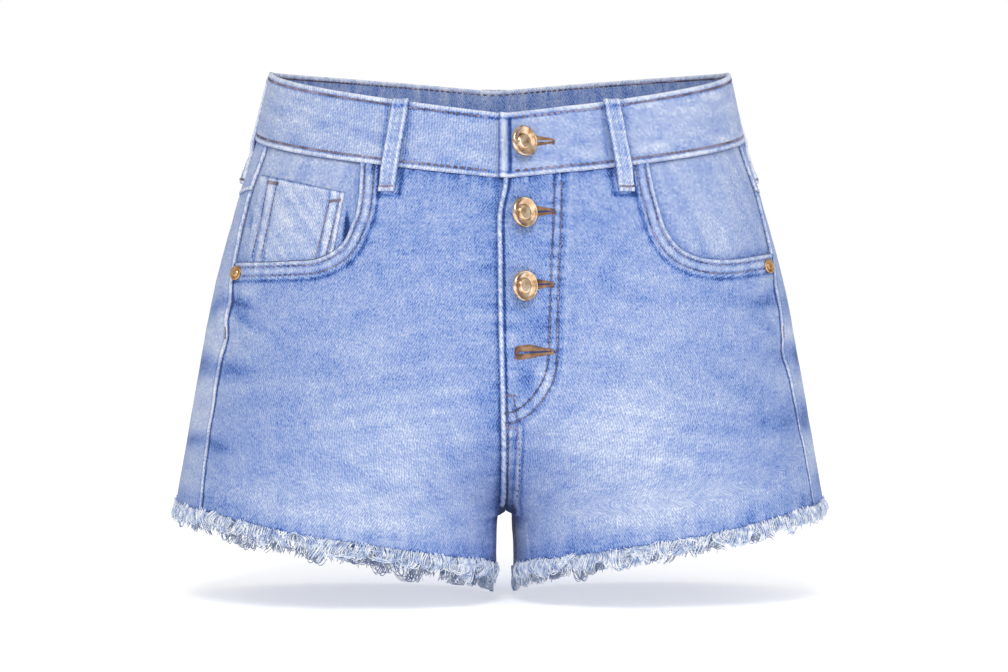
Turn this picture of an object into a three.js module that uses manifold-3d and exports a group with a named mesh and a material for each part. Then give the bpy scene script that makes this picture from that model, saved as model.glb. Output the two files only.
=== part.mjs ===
// High-waisted denim shorts with a button fly and frayed hems, standing open as they do when worn.
// Millimetres. +Z is up, the front faces -Y and the wearer's left is +X. The origin is the middle of the
// waist, halfway up the waistband at the side seams.
import * as THREE from "three";
import { mergeVertices } from "three/addons/utils/BufferGeometryUtils.js";
import Module from "manifold-3d";

const wasm = await Module();
wasm.setup();

// Driving sizes

const DENIM = 1.1; // one layer of cloth
const SEAM_GAP = 0.3; // between pieces that are sewn edge to edge
const LAYER_GAP = 0.6; // between pieces that lie on each other
const BAND_GAP = 0.8; // between the waistband and what is sewn to it
const CROTCH_Z = -243;
const RISE_BEND_Z = -130; // where the centre seams start to turn in under the body
const SECTION_POWER = 2.2; // 2 is an ellipse, more is squarer
const LEG_HALF_GAP = 5; // from the middle to the inside of a leg
const LEG_GAP_DEPTH = 2.5; // the height in which the legs part under the crotch
const LEG_GAP_REACH = 6; // the more, the less of the leg's inside gives way to the gap
const CENTRE_DRIFT = 3; // the crotch hangs this far to the wearer's left
const LEFT = 1;
const RIGHT = -1;
const FRONT_TURN = Math.PI / 2; // turns run from 0 at the side to a quarter turn at the centre front

// The body that the cloth stands round, one row for each level. Width and depths are to the outside of the
// cloth, and seamTurn is how far the side seam lies forward of the widest point, in degrees.
const BODY = [
  { z: 24, halfWidth: 135.5, front: 88, back: 90, seamTurn: 15 },
  { z: 0, halfWidth: 140.5, front: 93, back: 94, seamTurn: 15 },
  { z: -20, halfWidth: 145, front: 97, back: 99, seamTurn: 15 },
  { z: -60, halfWidth: 157.5, front: 104, back: 110, seamTurn: 13 },
  { z: -110, halfWidth: 171, front: 108, back: 122, seamTurn: 17 },
  { z: -160, halfWidth: 180.5, front: 107, back: 124, seamTurn: 20 },
  { z: -200, halfWidth: 187.5, front: 103, back: 116, seamTurn: 24 },
  { z: -240, halfWidth: 194, front: 98, back: 104, seamTurn: 28 },
  { z: -300, halfWidth: 199, front: 95, back: 98, seamTurn: 29 },
];

// The lower edge of the cloth round a leg, by the share of the half turn from the outside to the inseam.
const HEM = [
  { share: 0, front: -235, back: -235 },
  { share: 0.06, front: -235.2, back: -235.6 },
  { share: 0.18, front: -236.8, back: -243 },
  { share: 0.3, front: -241, back: -254 },
  { share: 0.5, front: -252.5, back: -269 },
  { share: 0.7, front: -263, back: -279 },
  { share: 0.85, front: -269, back: -281 },
  { share: 1, front: -276, back: -276 },
];

// Soft creases pressed into the cloth: where each lies, its length and width, how deep it is (a ridge has
// less than 0) and how it slopes. Lengths run round the body.
const FOLDS = [
  { side: RIGHT, turn: 26, z: -118, length: 46, width: 9, depth: 1.6, slope: 0.35 },
  { side: RIGHT, turn: 22, z: -137, length: 52, width: 10, depth: 1.8, slope: 0.2 },
  { side: RIGHT, turn: 18, z: -176, length: 40, width: 9, depth: 1.4, slope: 0.1 },
  { side: RIGHT, turn: 150, z: -224, length: 44, width: 10, depth: 1.3, slope: 0.5 },
  { side: LEFT, turn: 24, z: -112, length: 48, width: 9, depth: 1.6, slope: 0.4 },
  { side: LEFT, turn: 20, z: -146, length: 56, width: 11, depth: 1.8, slope: 0.25 },
  { side: LEFT, turn: 17, z: -189, length: 42, width: 9, depth: 1.4, slope: 0.1 },
  { side: LEFT, turn: 148, z: -222, length: 44, width: 10, depth: 1.3, slope: 0.5 },
  { side: RIGHT, turn: -128, z: -212, length: 66, width: 12, depth: 2.4, slope: 0.3 },
  { side: LEFT, turn: -126, z: -215, length: 62, width: 12, depth: 2.4, slope: 0.3 },
  { side: RIGHT, turn: 74, z: -246, length: 60, width: 22, depth: -1.6, slope: 0 },
  { side: LEFT, turn: 112, z: -256, length: 60, width: 22, depth: -1.6, slope: 0 },
];

const WAISTBAND = {
  top: 20, // at the side seams
  height: 40,
  thickness: 2.6,
  proud: 1.4, // its outside stands this far out from the cloth below
  frontTopDip: 26.5,
  frontBottomDip: 23.5,
  backTopDip: 9,
  backBottomDip: 6,
  steps: 84,
  underReach: 32, // how far the buttoned end runs on under the other one
  underSink: -1.3,
  overLift: 1.7,
  overFrom: 49, // the top end starts to rise here, and has risen at overTo
  overTo: 35,
  edge: 1.5, // the top end stops this far past the centre front
};

// The free edge of the fly, as far as it reaches past the centre on the wearer's right.
const FLY_EDGE = [
  { z: 0, reach: 1.5 },
  { z: -46, reach: 1.5 },
  { z: -64, reach: 4.6 },
  { z: -90, reach: 5.8 },
  { z: -190, reach: 6.2 },
  { z: -243, reach: 5.5 },
];
const FLY = {
  width: 33, // of the lapped part, down to where its curved end starts
  curveTop: -158,
  curveBottom: -192,
  seamWidth: 8, // of the lap below the fly
  ramp: 10, // in which the cloth comes down to the body beyond it
  lapEnd: 30, // the lap ends this far above the crotch
  lapFade: 8,
  shieldInset: 6,
  shieldLift: -0.6,
};
const LAP_LIFT = DENIM + LAYER_GAP + 0.1;

const BUTTON = {
  x: 9.4,
  levels: [-24, -64, -105.5],
  radius: 9,
  rise: 3.3, // from the cloth to the back of the cap
  tilt: 18, // degrees, towards the wearer's left
  shankRadius: 1.8,
};
const BUTTONHOLE = { eye: 3.1, eyeX: 8, slit: 0.8, end: 25.5, levels: [...BUTTON.levels, -145.5] };

// The curved mouth of a front pocket, seen from the front, for the wearer's left.
const MOUTH = { x: 87.5, straightTo: -48, cornerX: 118, z: -92.3, slope: -0.06 };
const LIP = { width: 9.3, rise: 0.8 };
const FACING = { reach: 14, depth: DENIM + SEAM_GAP, thickness: 1 };
const COIN_POCKET = [
  { x: 138.5, z: -46 },
  { x: 94.5, z: -55.5 },
  { x: 101, z: -100 },
  { x: 148.5, z: -100 },
];
const RIVET = { x: 155.5, z: -99.5, radius: 4.1, height: 1.5 };

const YOKE = { sideZ: -53, centreZ: -88 };
const BACK_POCKET = [
  { x: 27, z: -103 },
  { x: 137, z: -96 },
  { x: 139, z: -192 },
  { x: 88, z: -214 },
  { x: 36, z: -200 },
];

// Belt loops: where the top and bottom ends lie round the waist, in degrees.
const LOOPS = [
  { name: "belt_loop_front_right", side: RIGHT, topTurn: 64.5, bottomTurn: 64.7 },
  { name: "belt_loop_side_right", side: RIGHT, topTurn: -22, bottomTurn: -15 },
  { name: "belt_loop_centre_back", side: LEFT, topTurn: -90, bottomTurn: -90 },
  { name: "belt_loop_side_left", side: LEFT, topTurn: -22, bottomTurn: -15 },
  { name: "belt_loop_front_left", side: LEFT, topTurn: 64.5, bottomTurn: 64.7 },
];
const LOOP = { width: 11, thickness: 1.8, below: 13, slack: 2.8, steps: 12 };

const FRINGE = { strip: 1.6, strands: 76, shortest: 7, longest: 13, root: 0.75, tip: 0.3 };

// Small maths

const degrees = (d) => (d * Math.PI) / 180;
const mix = (a, b, share) => a + (b - a) * share;
const clamp01 = (v) => Math.min(1, Math.max(0, v));
const ease = (from, to, v) => {
  const s = clamp01((v - from) / (to - from));
  return s * s * (3 - 2 * s);
};

// A smooth curve through one column of a table, whose rows are in the order of the column named by key.
function tableAt(table, key, column, at) {
  const way = Math.sign(table[1][key] - table[0][key]);
  let i = 0;
  while (i < table.length - 2 && way * (at - table[i + 1][key]) > 0) i += 1;
  const slopeAt = (k) => {
    const a = table[Math.max(k - 1, 0)];
    const b = table[Math.min(k + 1, table.length - 1)];
    return (b[column] - a[column]) / (b[key] - a[key]);
  };
  const [p, q] = [table[i], table[i + 1]];
  const span = q[key] - p[key];
  const s = clamp01((at - p[key]) / span);
  const hermite = [
    (1 + 2 * s) * (1 - s) ** 2 * p[column],
    s * (1 - s) ** 2 * span * slopeAt(i),
    s * s * (3 - 2 * s) * q[column],
    s * s * (s - 1) * span * slopeAt(i + 1),
  ];
  return hermite.reduce((sum, v) => sum + v, 0);
}

// Pseudo-random numbers from 0 to 1, the same ones each time.
function dice(seed) {
  let state = seed;
  return () => {
    state = (state * 1664525 + 1013904223) % 4294967296;
    return state / 4294967296;
  };
}

// The form that the cloth follows

// How far each half's section is parted from the other: 0 on the body, 1 at the crotch and below.
const partedAt = (z) => 1 - ease(CROTCH_Z, RISE_BEND_Z, z);

// The turn at which a half reaches the centre seam at height z. Below the crotch it is the inseam's.
function centreTurn(z) {
  return Math.PI - Math.acos(Math.min(1, partedAt(z) ** (SECTION_POWER / 2)));
}

// One half's section at height z: its outer reach, and the middle and half width of its rounded outline.
function sectionAt(z) {
  const halfWidth = tableAt(BODY, "z", "halfWidth", z);
  const radius = halfWidth / (1 + partedAt(z));
  return { halfWidth, radius, middle: halfWidth - radius };
}

const power = (v, exponent) => Math.sign(v) * Math.abs(v) ** exponent;
const centreX = (z) => CENTRE_DRIFT * ease(-90, CROTCH_Z, z);

// A point of the smooth form, with no creases.
function smoothForm(side, turn, z) {
  const end = centreTurn(z);
  if (z > CROTCH_Z && Math.abs(turn) > end) {
    return smoothForm(-side, Math.sign(turn) * (2 * end - Math.abs(turn)), z);
  }
  const { halfWidth, radius, middle } = sectionAt(z);
  const depth = tableAt(BODY, "z", turn > 0 ? "front" : "back", z);
  const gap = LEG_HALF_GAP * Math.sqrt(clamp01((CROTCH_Z - z) / LEG_GAP_DEPTH));
  const inside = gap * (Math.abs(turn) / Math.PI) ** LEG_GAP_REACH;
  const x = middle + inside + radius * power(Math.cos(turn), 2 / SECTION_POWER);
  const y = -depth * power(Math.sin(turn), 2 / SECTION_POWER);
  return new THREE.Vector3(side * x + centreX(z) * (1 - x / halfWidth), y, z);
}

// The turn of the front at a distance across from the centre seam. It is less than 0 past the seam.
function turnAcross(across, z) {
  if (across < 0) return 2 * centreTurn(z) - turnAcross(-across, z);
  const { radius, middle } = sectionAt(z);
  return Math.acos(power((across - middle) / radius, SECTION_POWER / 2));
}

// How far across from the centre seam a turn of the front lies.
function acrossAt(turn, z) {
  const { radius, middle } = sectionAt(z);
  return middle + radius * power(Math.cos(turn), 2 / SECTION_POWER);
}

function outwards(side, turn, z) {
  const step = 0.004;
  const round = smoothForm(side, turn + step, z).sub(smoothForm(side, turn - step, z));
  const down = smoothForm(side, turn, z + 0.4).sub(smoothForm(side, turn, z - 0.4));
  return round.cross(down).multiplyScalar(-side).normalize();
}

// How far the creases move the cloth in at a point. They fade out towards the centre seams and the inseam.
function creaseAt(side, turn, z) {
  const arc = 105; // millimetres to a radian of turn
  const fade = ease(0.04, 0.3, centreTurn(z) - Math.abs(turn));
  let depth = 0;
  for (const f of FOLDS) {
    if (f.side !== side) continue;
    const along = (turn - degrees(f.turn)) * arc;
    const across = z - f.z + f.slope * along;
    const reach = Math.hypot(along / (f.length / 2), across / f.width);
    depth += f.depth * Math.exp(-2 * reach * reach);
  }
  return depth * fade;
}

// A point of the cloth, moved out from the panels' outside by lift. Each half keeps to its own side of the
// centre seams, apart from the lap of the fly.
function formAt(side, turn, z, lift) {
  const away = lift - creaseAt(side, turn, z);
  const point = smoothForm(side, turn, z).addScaledVector(outwards(side, turn, z), away);
  if (Math.abs(turn) > centreTurn(z)) return point;
  const middle = centreX(z);
  point.x = middle + side * Math.max(side * (point.x - middle), SEAM_GAP / 2);
  return point;
}

// Solids

function solidFrom(points, triangles) {
  const triVerts = new Uint32Array(triangles);
  const vertProperties = new Float32Array(points.flatMap((p) => [p.x, p.y, p.z]));
  const made = new wasm.Manifold(new wasm.Mesh({ numProp: 3, vertProperties, triVerts }));
  if (made.volume() > 0) return made;
  for (let i = 0; i < triVerts.length; i += 3) {
    [triVerts[i + 1], triVerts[i + 2]] = [triVerts[i + 2], triVerts[i + 1]];
  }
  return new wasm.Manifold(new wasm.Mesh({ numProp: 3, vertProperties, triVerts }));
}

function solidOf(geometry) {
  const bare = geometry.clone();
  bare.deleteAttribute("normal");
  bare.deleteAttribute("uv");
  const merged = mergeVertices(bare, 1e-4);
  const vertProperties = merged.attributes.position.array;
  const triVerts = new Uint32Array(merged.index.array);
  return new wasm.Manifold(new wasm.Mesh({ numProp: 3, vertProperties, triVerts }));
}

// A cloth wall over a grid of places. place(i, j) gives a grid point's side, turn, z and lift, and the wall
// runs from the lift down to thickness under it.
function wall(columns, rows, thickness, place) {
  const points = [];
  for (const under of [0, thickness]) {
    for (let j = 0; j <= rows; j += 1) {
      for (let i = 0; i <= columns; i += 1) {
        const p = place(i, j);
        points.push(formAt(p.side, p.turn, p.z, p.lift - under));
      }
    }
  }
  const layer = (columns + 1) * (rows + 1);
  const at = (i, j, inner) => inner * layer + j * (columns + 1) + i;
  const triangles = [];
  const quad = (a, b, c, d) => triangles.push(a, b, c, a, c, d);
  for (let j = 0; j < rows; j += 1) {
    for (let i = 0; i < columns; i += 1) {
      quad(at(i, j, 0), at(i + 1, j, 0), at(i + 1, j + 1, 0), at(i, j + 1, 0));
      quad(at(i, j, 1), at(i, j + 1, 1), at(i + 1, j + 1, 1), at(i + 1, j, 1));
    }
  }
  for (let i = 0; i < columns; i += 1) {
    quad(at(i + 1, 0, 0), at(i, 0, 0), at(i, 0, 1), at(i + 1, 0, 1));
    quad(at(i, rows, 0), at(i + 1, rows, 0), at(i + 1, rows, 1), at(i, rows, 1));
  }
  for (let j = 0; j < rows; j += 1) {
    quad(at(0, j, 0), at(0, j + 1, 0), at(0, j + 1, 1), at(0, j, 1));
    quad(at(columns, j + 1, 0), at(columns, j, 0), at(columns, j, 1), at(columns, j + 1, 1));
  }
  return solidFrom(points, triangles);
}

// What lies behind or in front of an outline in x and z, on one side of the body.
function prism(shape, side, facing) {
  const reach = 260;
  const outline = shape.getPoints(10).map((p) => new THREE.Vector2(p.x * side, p.y));
  const solid = new THREE.ExtrudeGeometry(new THREE.Shape(outline), {
    depth: reach,
    bevelEnabled: false,
  });
  solid.rotateX(Math.PI / 2);
  solid.translate(0, facing === "front" ? 0 : reach, 0);
  return solidOf(solid);
}

function polygon(rows) {
  return new THREE.Shape(rows.map((p) => new THREE.Vector2(p.x, p.z)));
}

// Edges of the panels

// The lower or upper edge of the waistband round the waist. It rises again past the centre front.
function bandEdge(turn, which) {
  const share = 1 - Math.abs(1 - Math.abs(turn) / FRONT_TURN);
  const side = which === "Top" ? WAISTBAND.top : WAISTBAND.top - WAISTBAND.height;
  const frontDip = WAISTBAND[`front${which}Dip`] * share ** 1.12;
  const backDip = WAISTBAND[`back${which}Dip`] * share ** 2.6;
  return side - (turn > 0 ? frontDip : backDip);
}

function hemAt(turn) {
  return tableAt(HEM, "share", turn > 0 ? "front" : "back", Math.abs(turn) / Math.PI);
}

function yokeSeam(turn) {
  return mix(YOKE.sideZ, YOKE.centreZ, ease(-0.25, 1, Math.abs(turn) / FRONT_TURN));
}

const sideSeamTurn = (z) => degrees(tableAt(BODY, "z", "seamTurn", z));
const seamShift = (z) => SEAM_GAP / 2 / tableAt(BODY, "z", "front", z);

// Front panels

const FRONT_COLUMNS = 18;
const FRONT_ROWS = 18;
const ROWS_ABOVE_CROTCH = 13;

// The height of a front or back grid point: rows run from the top edge through the crotch to the hem.
function rowHeight(share, j, top, hem, legRise) {
  const crotchRow = CROTCH_Z + legRise * share ** 3;
  if (j <= ROWS_ABOVE_CROTCH) {
    const down = 1 - (1 - j / ROWS_ABOVE_CROTCH) ** 1.7;
    return mix(top, crotchRow, down);
  }
  const below = (j - ROWS_ABOVE_CROTCH) / (FRONT_ROWS - ROWS_ABOVE_CROTCH);
  return mix(crotchRow, hem, below ** 1.6);
}

// How wide the lapped part of the fly is at height z.
function lapWidth(z) {
  const down = clamp01((FLY.curveTop - z) / (FLY.curveTop - FLY.curveBottom));
  return Math.max(FLY.seamWidth, FLY.width * Math.sqrt(1 - down * down));
}

const lapEndZ = CROTCH_Z + FLY.lapEnd;

// The grid of one front panel. lift and the centre edge follow the fly lap on the wearer's left.
function frontPlace(side, lift) {
  const share = (i) => (i / FRONT_COLUMNS) ** 1.15;
  return (i, j) => {
    const s = share(i);
    const topTurn = mix(FRONT_TURN, sideSeamTurn(-22), s);
    const hemTurn = mix(Math.PI, sideSeamTurn(-240), s);
    const top = bandEdge(topTurn, "Bottom") - BAND_GAP;
    const z = rowHeight(s, j, top, hemAt(hemTurn), 40);
    const centreZ = rowHeight(0, j, bandEdge(FRONT_TURN, "Bottom") - BAND_GAP, hemAt(Math.PI), 0);
    const reach = tableAt(FLY_EDGE, "z", "reach", centreZ) * ease(lapEndZ, lapEndZ + FLY.lapFade, centreZ);
    const edge = side === LEFT && reach > 0 ? turnAcross(-reach, centreZ) : centreTurn(centreZ);
    const turn = mix(edge - seamShift(z), sideSeamTurn(z) + seamShift(z), s);
    const width = lapWidth(z);
    const lap = 1 - ease(width, width + FLY.ramp, acrossAt(turn, z));
    const fade = ease(CROTCH_Z + 4, lapEndZ, centreZ);
    const rise = side === LEFT ? LAP_LIFT * lap * fade : 0;
    return { side, turn, z, lift: lift + rise };
  };
}

// The mouth of a front pocket, with its edge moved towards the centre and down by grow.
function mouth(grow) {
  const far = 215;
  const high = 10;
  const fall = (far - MOUTH.cornerX) * MOUTH.slope;
  const shape = new THREE.Shape();
  shape.moveTo(MOUTH.x - grow, high);
  shape.lineTo(MOUTH.x + 1 - grow, MOUTH.straightTo);
  shape.bezierCurveTo(
    MOUTH.x + 2 - grow,
    MOUTH.straightTo - 22 - grow * 0.45,
    MOUTH.x + 11 - grow * 0.55,
    MOUTH.z + 1.3 - grow,
    MOUTH.cornerX,
    MOUTH.z - grow,
  );
  shape.lineTo(far, MOUTH.z + fall - grow);
  shape.lineTo(far, high);
  return shape;
}

// A keyhole slot for a shank: a round eye and a slit to its right.
function buttonhole(z) {
  const shape = new THREE.Shape();
  const halfSlit = Math.asin(BUTTONHOLE.slit / BUTTONHOLE.eye);
  shape.absarc(BUTTONHOLE.eyeX, z, BUTTONHOLE.eye, halfSlit, 2 * Math.PI - halfSlit, false);
  shape.lineTo(BUTTONHOLE.end, z - BUTTONHOLE.slit);
  shape.lineTo(BUTTONHOLE.end, z + BUTTONHOLE.slit);
  return prism(shape, LEFT, "front");
}

function frontPanel(side) {
  const cloth = wall(FRONT_COLUMNS, FRONT_ROWS, DENIM, frontPlace(side, 0));
  const lip = wall(FRONT_COLUMNS, FRONT_ROWS, DENIM / 2 + LIP.rise, frontPlace(side, LIP.rise))
    .intersect(prism(mouth(LIP.width), side, "front"));
  const bare = cloth.add(lip).subtract(prism(mouth(0), side, "front"));
  if (side === RIGHT) return bare;
  return BUTTONHOLE.levels.slice(1).reduce((s, z) => s.subtract(buttonhole(z)), bare);
}

// The denim that shows inside a pocket's mouth, one layer behind the front.
function pocketFacing(side) {
  const place = frontPlace(side, -FACING.depth);
  const flat = (i, j) => ({ ...place(i, j), lift: -FACING.depth });
  return wall(FRONT_COLUMNS, FRONT_ROWS, FACING.thickness, flat)
    .intersect(prism(mouth(FACING.reach), side, "front"));
}

function coinPocket() {
  const lift = FACING.thickness + SEAM_GAP - FACING.depth;
  return wall(FRONT_COLUMNS, FRONT_ROWS, FACING.thickness, frontPlace(RIGHT, lift))
    .intersect(prism(polygon(COIN_POCKET), RIGHT, "front"))
    .intersect(prism(mouth(-SEAM_GAP - 0.2), RIGHT, "front"));
}

// The strip under the fly that carries the buttons.
function flyShield() {
  const columns = 4;
  const rows = 12;
  return wall(columns, rows, DENIM, (i, j) => {
    const top = bandEdge(turnAcross((FLY.width * i) / columns, -44), "Bottom") - BAND_GAP;
    const z = mix(top, FLY.curveBottom, j / rows);
    const across = mix(SEAM_GAP, Math.max(6, lapWidth(z) - FLY.shieldInset), i / columns);
    return { side: LEFT, turn: turnAcross(across, z), z, lift: FLY.shieldLift };
  });
}

// Back panels, yokes and back pockets

const BACK_COLUMNS = 18;

function backPlace(side, lift) {
  return (i, j) => {
    const s = i / BACK_COLUMNS;
    const topTurn = mix(-FRONT_TURN, sideSeamTurn(-60), s);
    const hemTurn = mix(-Math.PI, sideSeamTurn(-240), s);
    const z = rowHeight(s, j, yokeSeam(topTurn) - SEAM_GAP, hemAt(hemTurn), 38);
    const centreZ = rowHeight(0, j, yokeSeam(-FRONT_TURN) - SEAM_GAP, hemAt(-Math.PI), 0);
    const centre = -centreTurn(centreZ) + seamShift(z);
    return { side, turn: mix(centre, sideSeamTurn(z) - seamShift(z), s), z, lift };
  };
}

function backPanel(side) {
  return wall(BACK_COLUMNS, FRONT_ROWS, DENIM, backPlace(side, 0));
}

function yoke(side) {
  const rows = 4;
  return wall(BACK_COLUMNS, rows, DENIM, (i, j) => {
    const s = i / BACK_COLUMNS;
    const turn = (z) => mix(-FRONT_TURN + seamShift(z), sideSeamTurn(z) - seamShift(z), s);
    const top = bandEdge(turn(-25), "Bottom") - BAND_GAP;
    const z = mix(top, yokeSeam(turn(-60)), j / rows);
    return { side, turn: turn(z), z, lift: 0 };
  });
}

function backPocket(side) {
  return wall(BACK_COLUMNS, FRONT_ROWS, DENIM, backPlace(side, LAP_LIFT))
    .intersect(prism(polygon(BACK_POCKET), side, "back"));
}

// Waistband

// One strip: from its buttoned end under the fly, round the wearer's right, the back and the left, to the
// end on top.
function waistband() {
  const start = turnAcross(-WAISTBAND.underReach, -20);
  const end = turnAcross(-WAISTBAND.edge, -20);
  const total = start + end + 2 * FRONT_TURN;
  const rows = 2;
  return wall(WAISTBAND.steps, rows, WAISTBAND.thickness, (i, j) => {
    const gone = (i / WAISTBAND.steps) * total;
    const onRight = gone <= start + FRONT_TURN;
    const side = onRight ? RIGHT : LEFT;
    const turn = onRight ? start - gone : gone - start - 2 * FRONT_TURN;
    const across = turn > 0 ? acrossAt(turn, -20) : Infinity;
    const over = 1 - ease(WAISTBAND.overTo, WAISTBAND.overFrom, across);
    const under = 1 - ease(2, 14, across);
    const bend = onRight ? WAISTBAND.underSink * under : WAISTBAND.overLift * over;
    const z = mix(bandEdge(turn, "Top"), bandEdge(turn, "Bottom"), j / rows);
    return { side, turn, z, lift: WAISTBAND.proud + bend };
  }).subtract(buttonhole(BUTTONHOLE.levels[0]).subtract(shadowOfUnderEnd()));
}

// The space of the buttoned end, which the buttonhole in the end on top leaves alone.
function shadowOfUnderEnd() {
  const columns = 6;
  const reach = 12;
  return wall(columns, 1, reach, (i, j) => {
    const turn = turnAcross(mix(20, -WAISTBAND.underReach - 4, i / columns), -20);
    const z = mix(10, -60, j);
    return { side: RIGHT, turn, z, lift: WAISTBAND.proud + WAISTBAND.underSink + SEAM_GAP / 2 };
  });
}

// Belt loops

function beltLoop({ side, topTurn, bottomTurn }) {
  const [from, to] = [degrees(topTurn), degrees(bottomTurn)];
  const high = bandEdge(from, "Top") + 0.6;
  const low = bandEdge(to, "Bottom") - LOOP.below;
  const bandBottom = bandEdge(to, "Bottom");
  return wall(2, LOOP.steps, LOOP.thickness, (i, j) => {
    const down = j / LOOP.steps;
    const z = mix(high, low, down);
    const arc = tableAt(BODY, "z", Math.abs(from) > 1 ? "halfWidth" : "front", z);
    const turn = mix(from, to, down) + ((i - 1) * LOOP.width) / 2 / arc;
    const overBand = WAISTBAND.proud * ease(bandBottom - 9, bandBottom - 2, z);
    const slack = LOOP.slack * Math.sin(Math.PI * clamp01((high - 4 - z) / (high - low - 8))) ** 0.8;
    return { side, turn, z, lift: LOOP.thickness + LAYER_GAP + overBand + slack };
  });
}

// Buttons and rivets

// Sets a turned piece on the cloth with its axis square to it, then tilted about the upright axis.
function setOn(geometry, side, turn, z, lift, tilt) {
  const axis = outwards(side, turn, z).applyAxisAngle(new THREE.Vector3(0, 0, 1), degrees(tilt));
  geometry.applyQuaternion(new THREE.Quaternion().setFromUnitVectors(new THREE.Vector3(0, 1, 0), axis));
  const at = smoothForm(side, turn, z).addScaledVector(outwards(side, turn, z), lift);
  return geometry.translate(at.x, at.y, at.z);
}

function turned(profile, sides) {
  return new THREE.LatheGeometry(profile.map(([r, h]) => new THREE.Vector2(r, h)), sides);
}

function button(z, clothLift, seatLift) {
  const r = BUTTON.radius;
  const shankLength = BUTTON.rise + clothLift - seatLift - LAYER_GAP;
  const profile = [
    [0, -shankLength],
    [BUTTON.shankRadius, -shankLength],
    [BUTTON.shankRadius, 0],
    [r - 0.7, 0],
    [r, 0.7],
    [r, 1.6],
    [r - 0.6, 2.1],
    [r - 1.4, 1.9],
    [r * 0.5, 1.2],
    [r * 0.44, 1.7],
    [0, 1.9],
  ];
  const turn = turnAcross(BUTTON.x, z);
  return solidOf(setOn(turned(profile, 20), LEFT, turn, z, clothLift + BUTTON.rise, BUTTON.tilt));
}

function rivet(side) {
  const { radius: r, height: h } = RIVET;
  const profile = [
    [0, 0],
    [r, 0],
    [r, 0.5],
    [r - 0.7, 0.9],
    [r * 0.45, 0.8],
    [r * 0.36, h],
    [0, h + 0.2],
  ];
  const turn = turnAcross(RIVET.x, RIVET.z);
  const lift = LIP.rise + LAYER_GAP;
  return solidOf(setOn(turned(profile, 16), side, turn, RIVET.z, lift, 0));
}

// Frayed hems

// One ring of loosened threads under a leg's hem: a narrow strip with locks that hang from it.
function hemFringe(side, seed) {
  const roll = dice(seed);
  const steps = 56;
  const ringTurn = (i) => mix(Math.PI, -Math.PI, i / steps);
  const edge = (turn) => hemAt(turn) - LAYER_GAP;
  const points = [];
  for (let i = 0; i < steps; i += 1) {
    const turn = ringTurn(i);
    for (const [drop, lift] of [[0, 0], [FRINGE.strip, 0], [FRINGE.strip, -DENIM], [0, -DENIM]]) {
      points.push(formAt(side, turn, edge(turn) - drop, lift));
    }
  }
  const triangles = [];
  for (let i = 0; i < steps; i += 1) {
    const next = (i + 1) % steps;
    for (let k = 0; k < 4; k += 1) {
      const [a, b] = [i * 4 + k, i * 4 + ((k + 1) % 4)];
      const [c, d] = [next * 4 + ((k + 1) % 4), next * 4 + k];
      triangles.push(a, b, c, a, c, d);
    }
  }
  const locks = [];
  for (let i = 0; i < FRINGE.strands; i += 1) {
    const turn = mix(Math.PI, -Math.PI, (i + 0.25 + 0.5 * roll()) / FRINGE.strands);
    locks.push(lock(side, turn, edge(turn) - FRINGE.strip / 2, roll));
  }
  return locks.reduce((s, strand) => s.add(strand), solidFrom(points, triangles));
}

// One lock: three sides, rooted in the strip, hanging down with a lean and a curl of its own.
function lock(side, turn, z, roll) {
  const root = formAt(side, turn, z, -DENIM / 2);
  const out = outwards(side, turn, z);
  const round = new THREE.Vector3(-out.y, out.x, 0).normalize();
  const length = mix(FRINGE.shortest, FRINGE.longest, roll());
  const lean = mix(-1.2, 1.2, roll());
  const curl = mix(-0.3, 1.4, roll());
  const stops = [
    { down: 0, aside: 0, away: 0, size: FRINGE.root },
    { down: 0.55, aside: lean, away: curl, size: FRINGE.root * 0.9 },
    { down: 1, aside: lean * 1.6, away: curl * 0.7, size: FRINGE.tip },
  ];
  const points = [];
  for (const stop of stops) {
    const centre = root.clone().addScaledVector(round, stop.aside).addScaledVector(out, stop.away);
    centre.z -= length * stop.down;
    for (let k = 0; k < 3; k += 1) {
      const angle = degrees(120 * k + 30);
      const corner = centre.clone().addScaledVector(round, stop.size * Math.cos(angle));
      points.push(corner.addScaledVector(out, stop.size * 0.6 * Math.sin(angle)));
    }
  }
  const triangles = [0, 2, 1, 6, 7, 8];
  for (const ring of [0, 3]) {
    for (let k = 0; k < 3; k += 1) {
      const [a, b] = [ring + k, ring + ((k + 1) % 3)];
      triangles.push(a, b, b + 3, a, b + 3, a + 3);
    }
  }
  return solidFrom(points, triangles);
}

// The object

const denim = (colour) => new THREE.MeshStandardMaterial({ color: colour, roughness: 0.92, metalness: 0 });
const LOOKS = {
  panel: denim("#8fa9de"),
  band: denim("#9db4e2"),
  pocket: denim("#a9bce6"),
  loop: denim("#b3c3e8"),
  fringe: denim("#c9d6ee"),
  brass: new THREE.MeshStandardMaterial({ color: "#c9a06c", roughness: 0.28, metalness: 1 }),
};

const shorts = new THREE.Group();

function addPiece(name, solid, look) {
  const mesh = solid.getMesh();
  const geometry = new THREE.BufferGeometry();
  geometry.setAttribute("position", new THREE.BufferAttribute(mesh.vertProperties, mesh.numProp));
  geometry.setIndex(new THREE.BufferAttribute(mesh.triVerts, 1));
  geometry.computeVertexNormals();
  const piece = new THREE.Mesh(geometry, LOOKS[look]);
  piece.name = name;
  shorts.add(piece);
}

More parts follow.
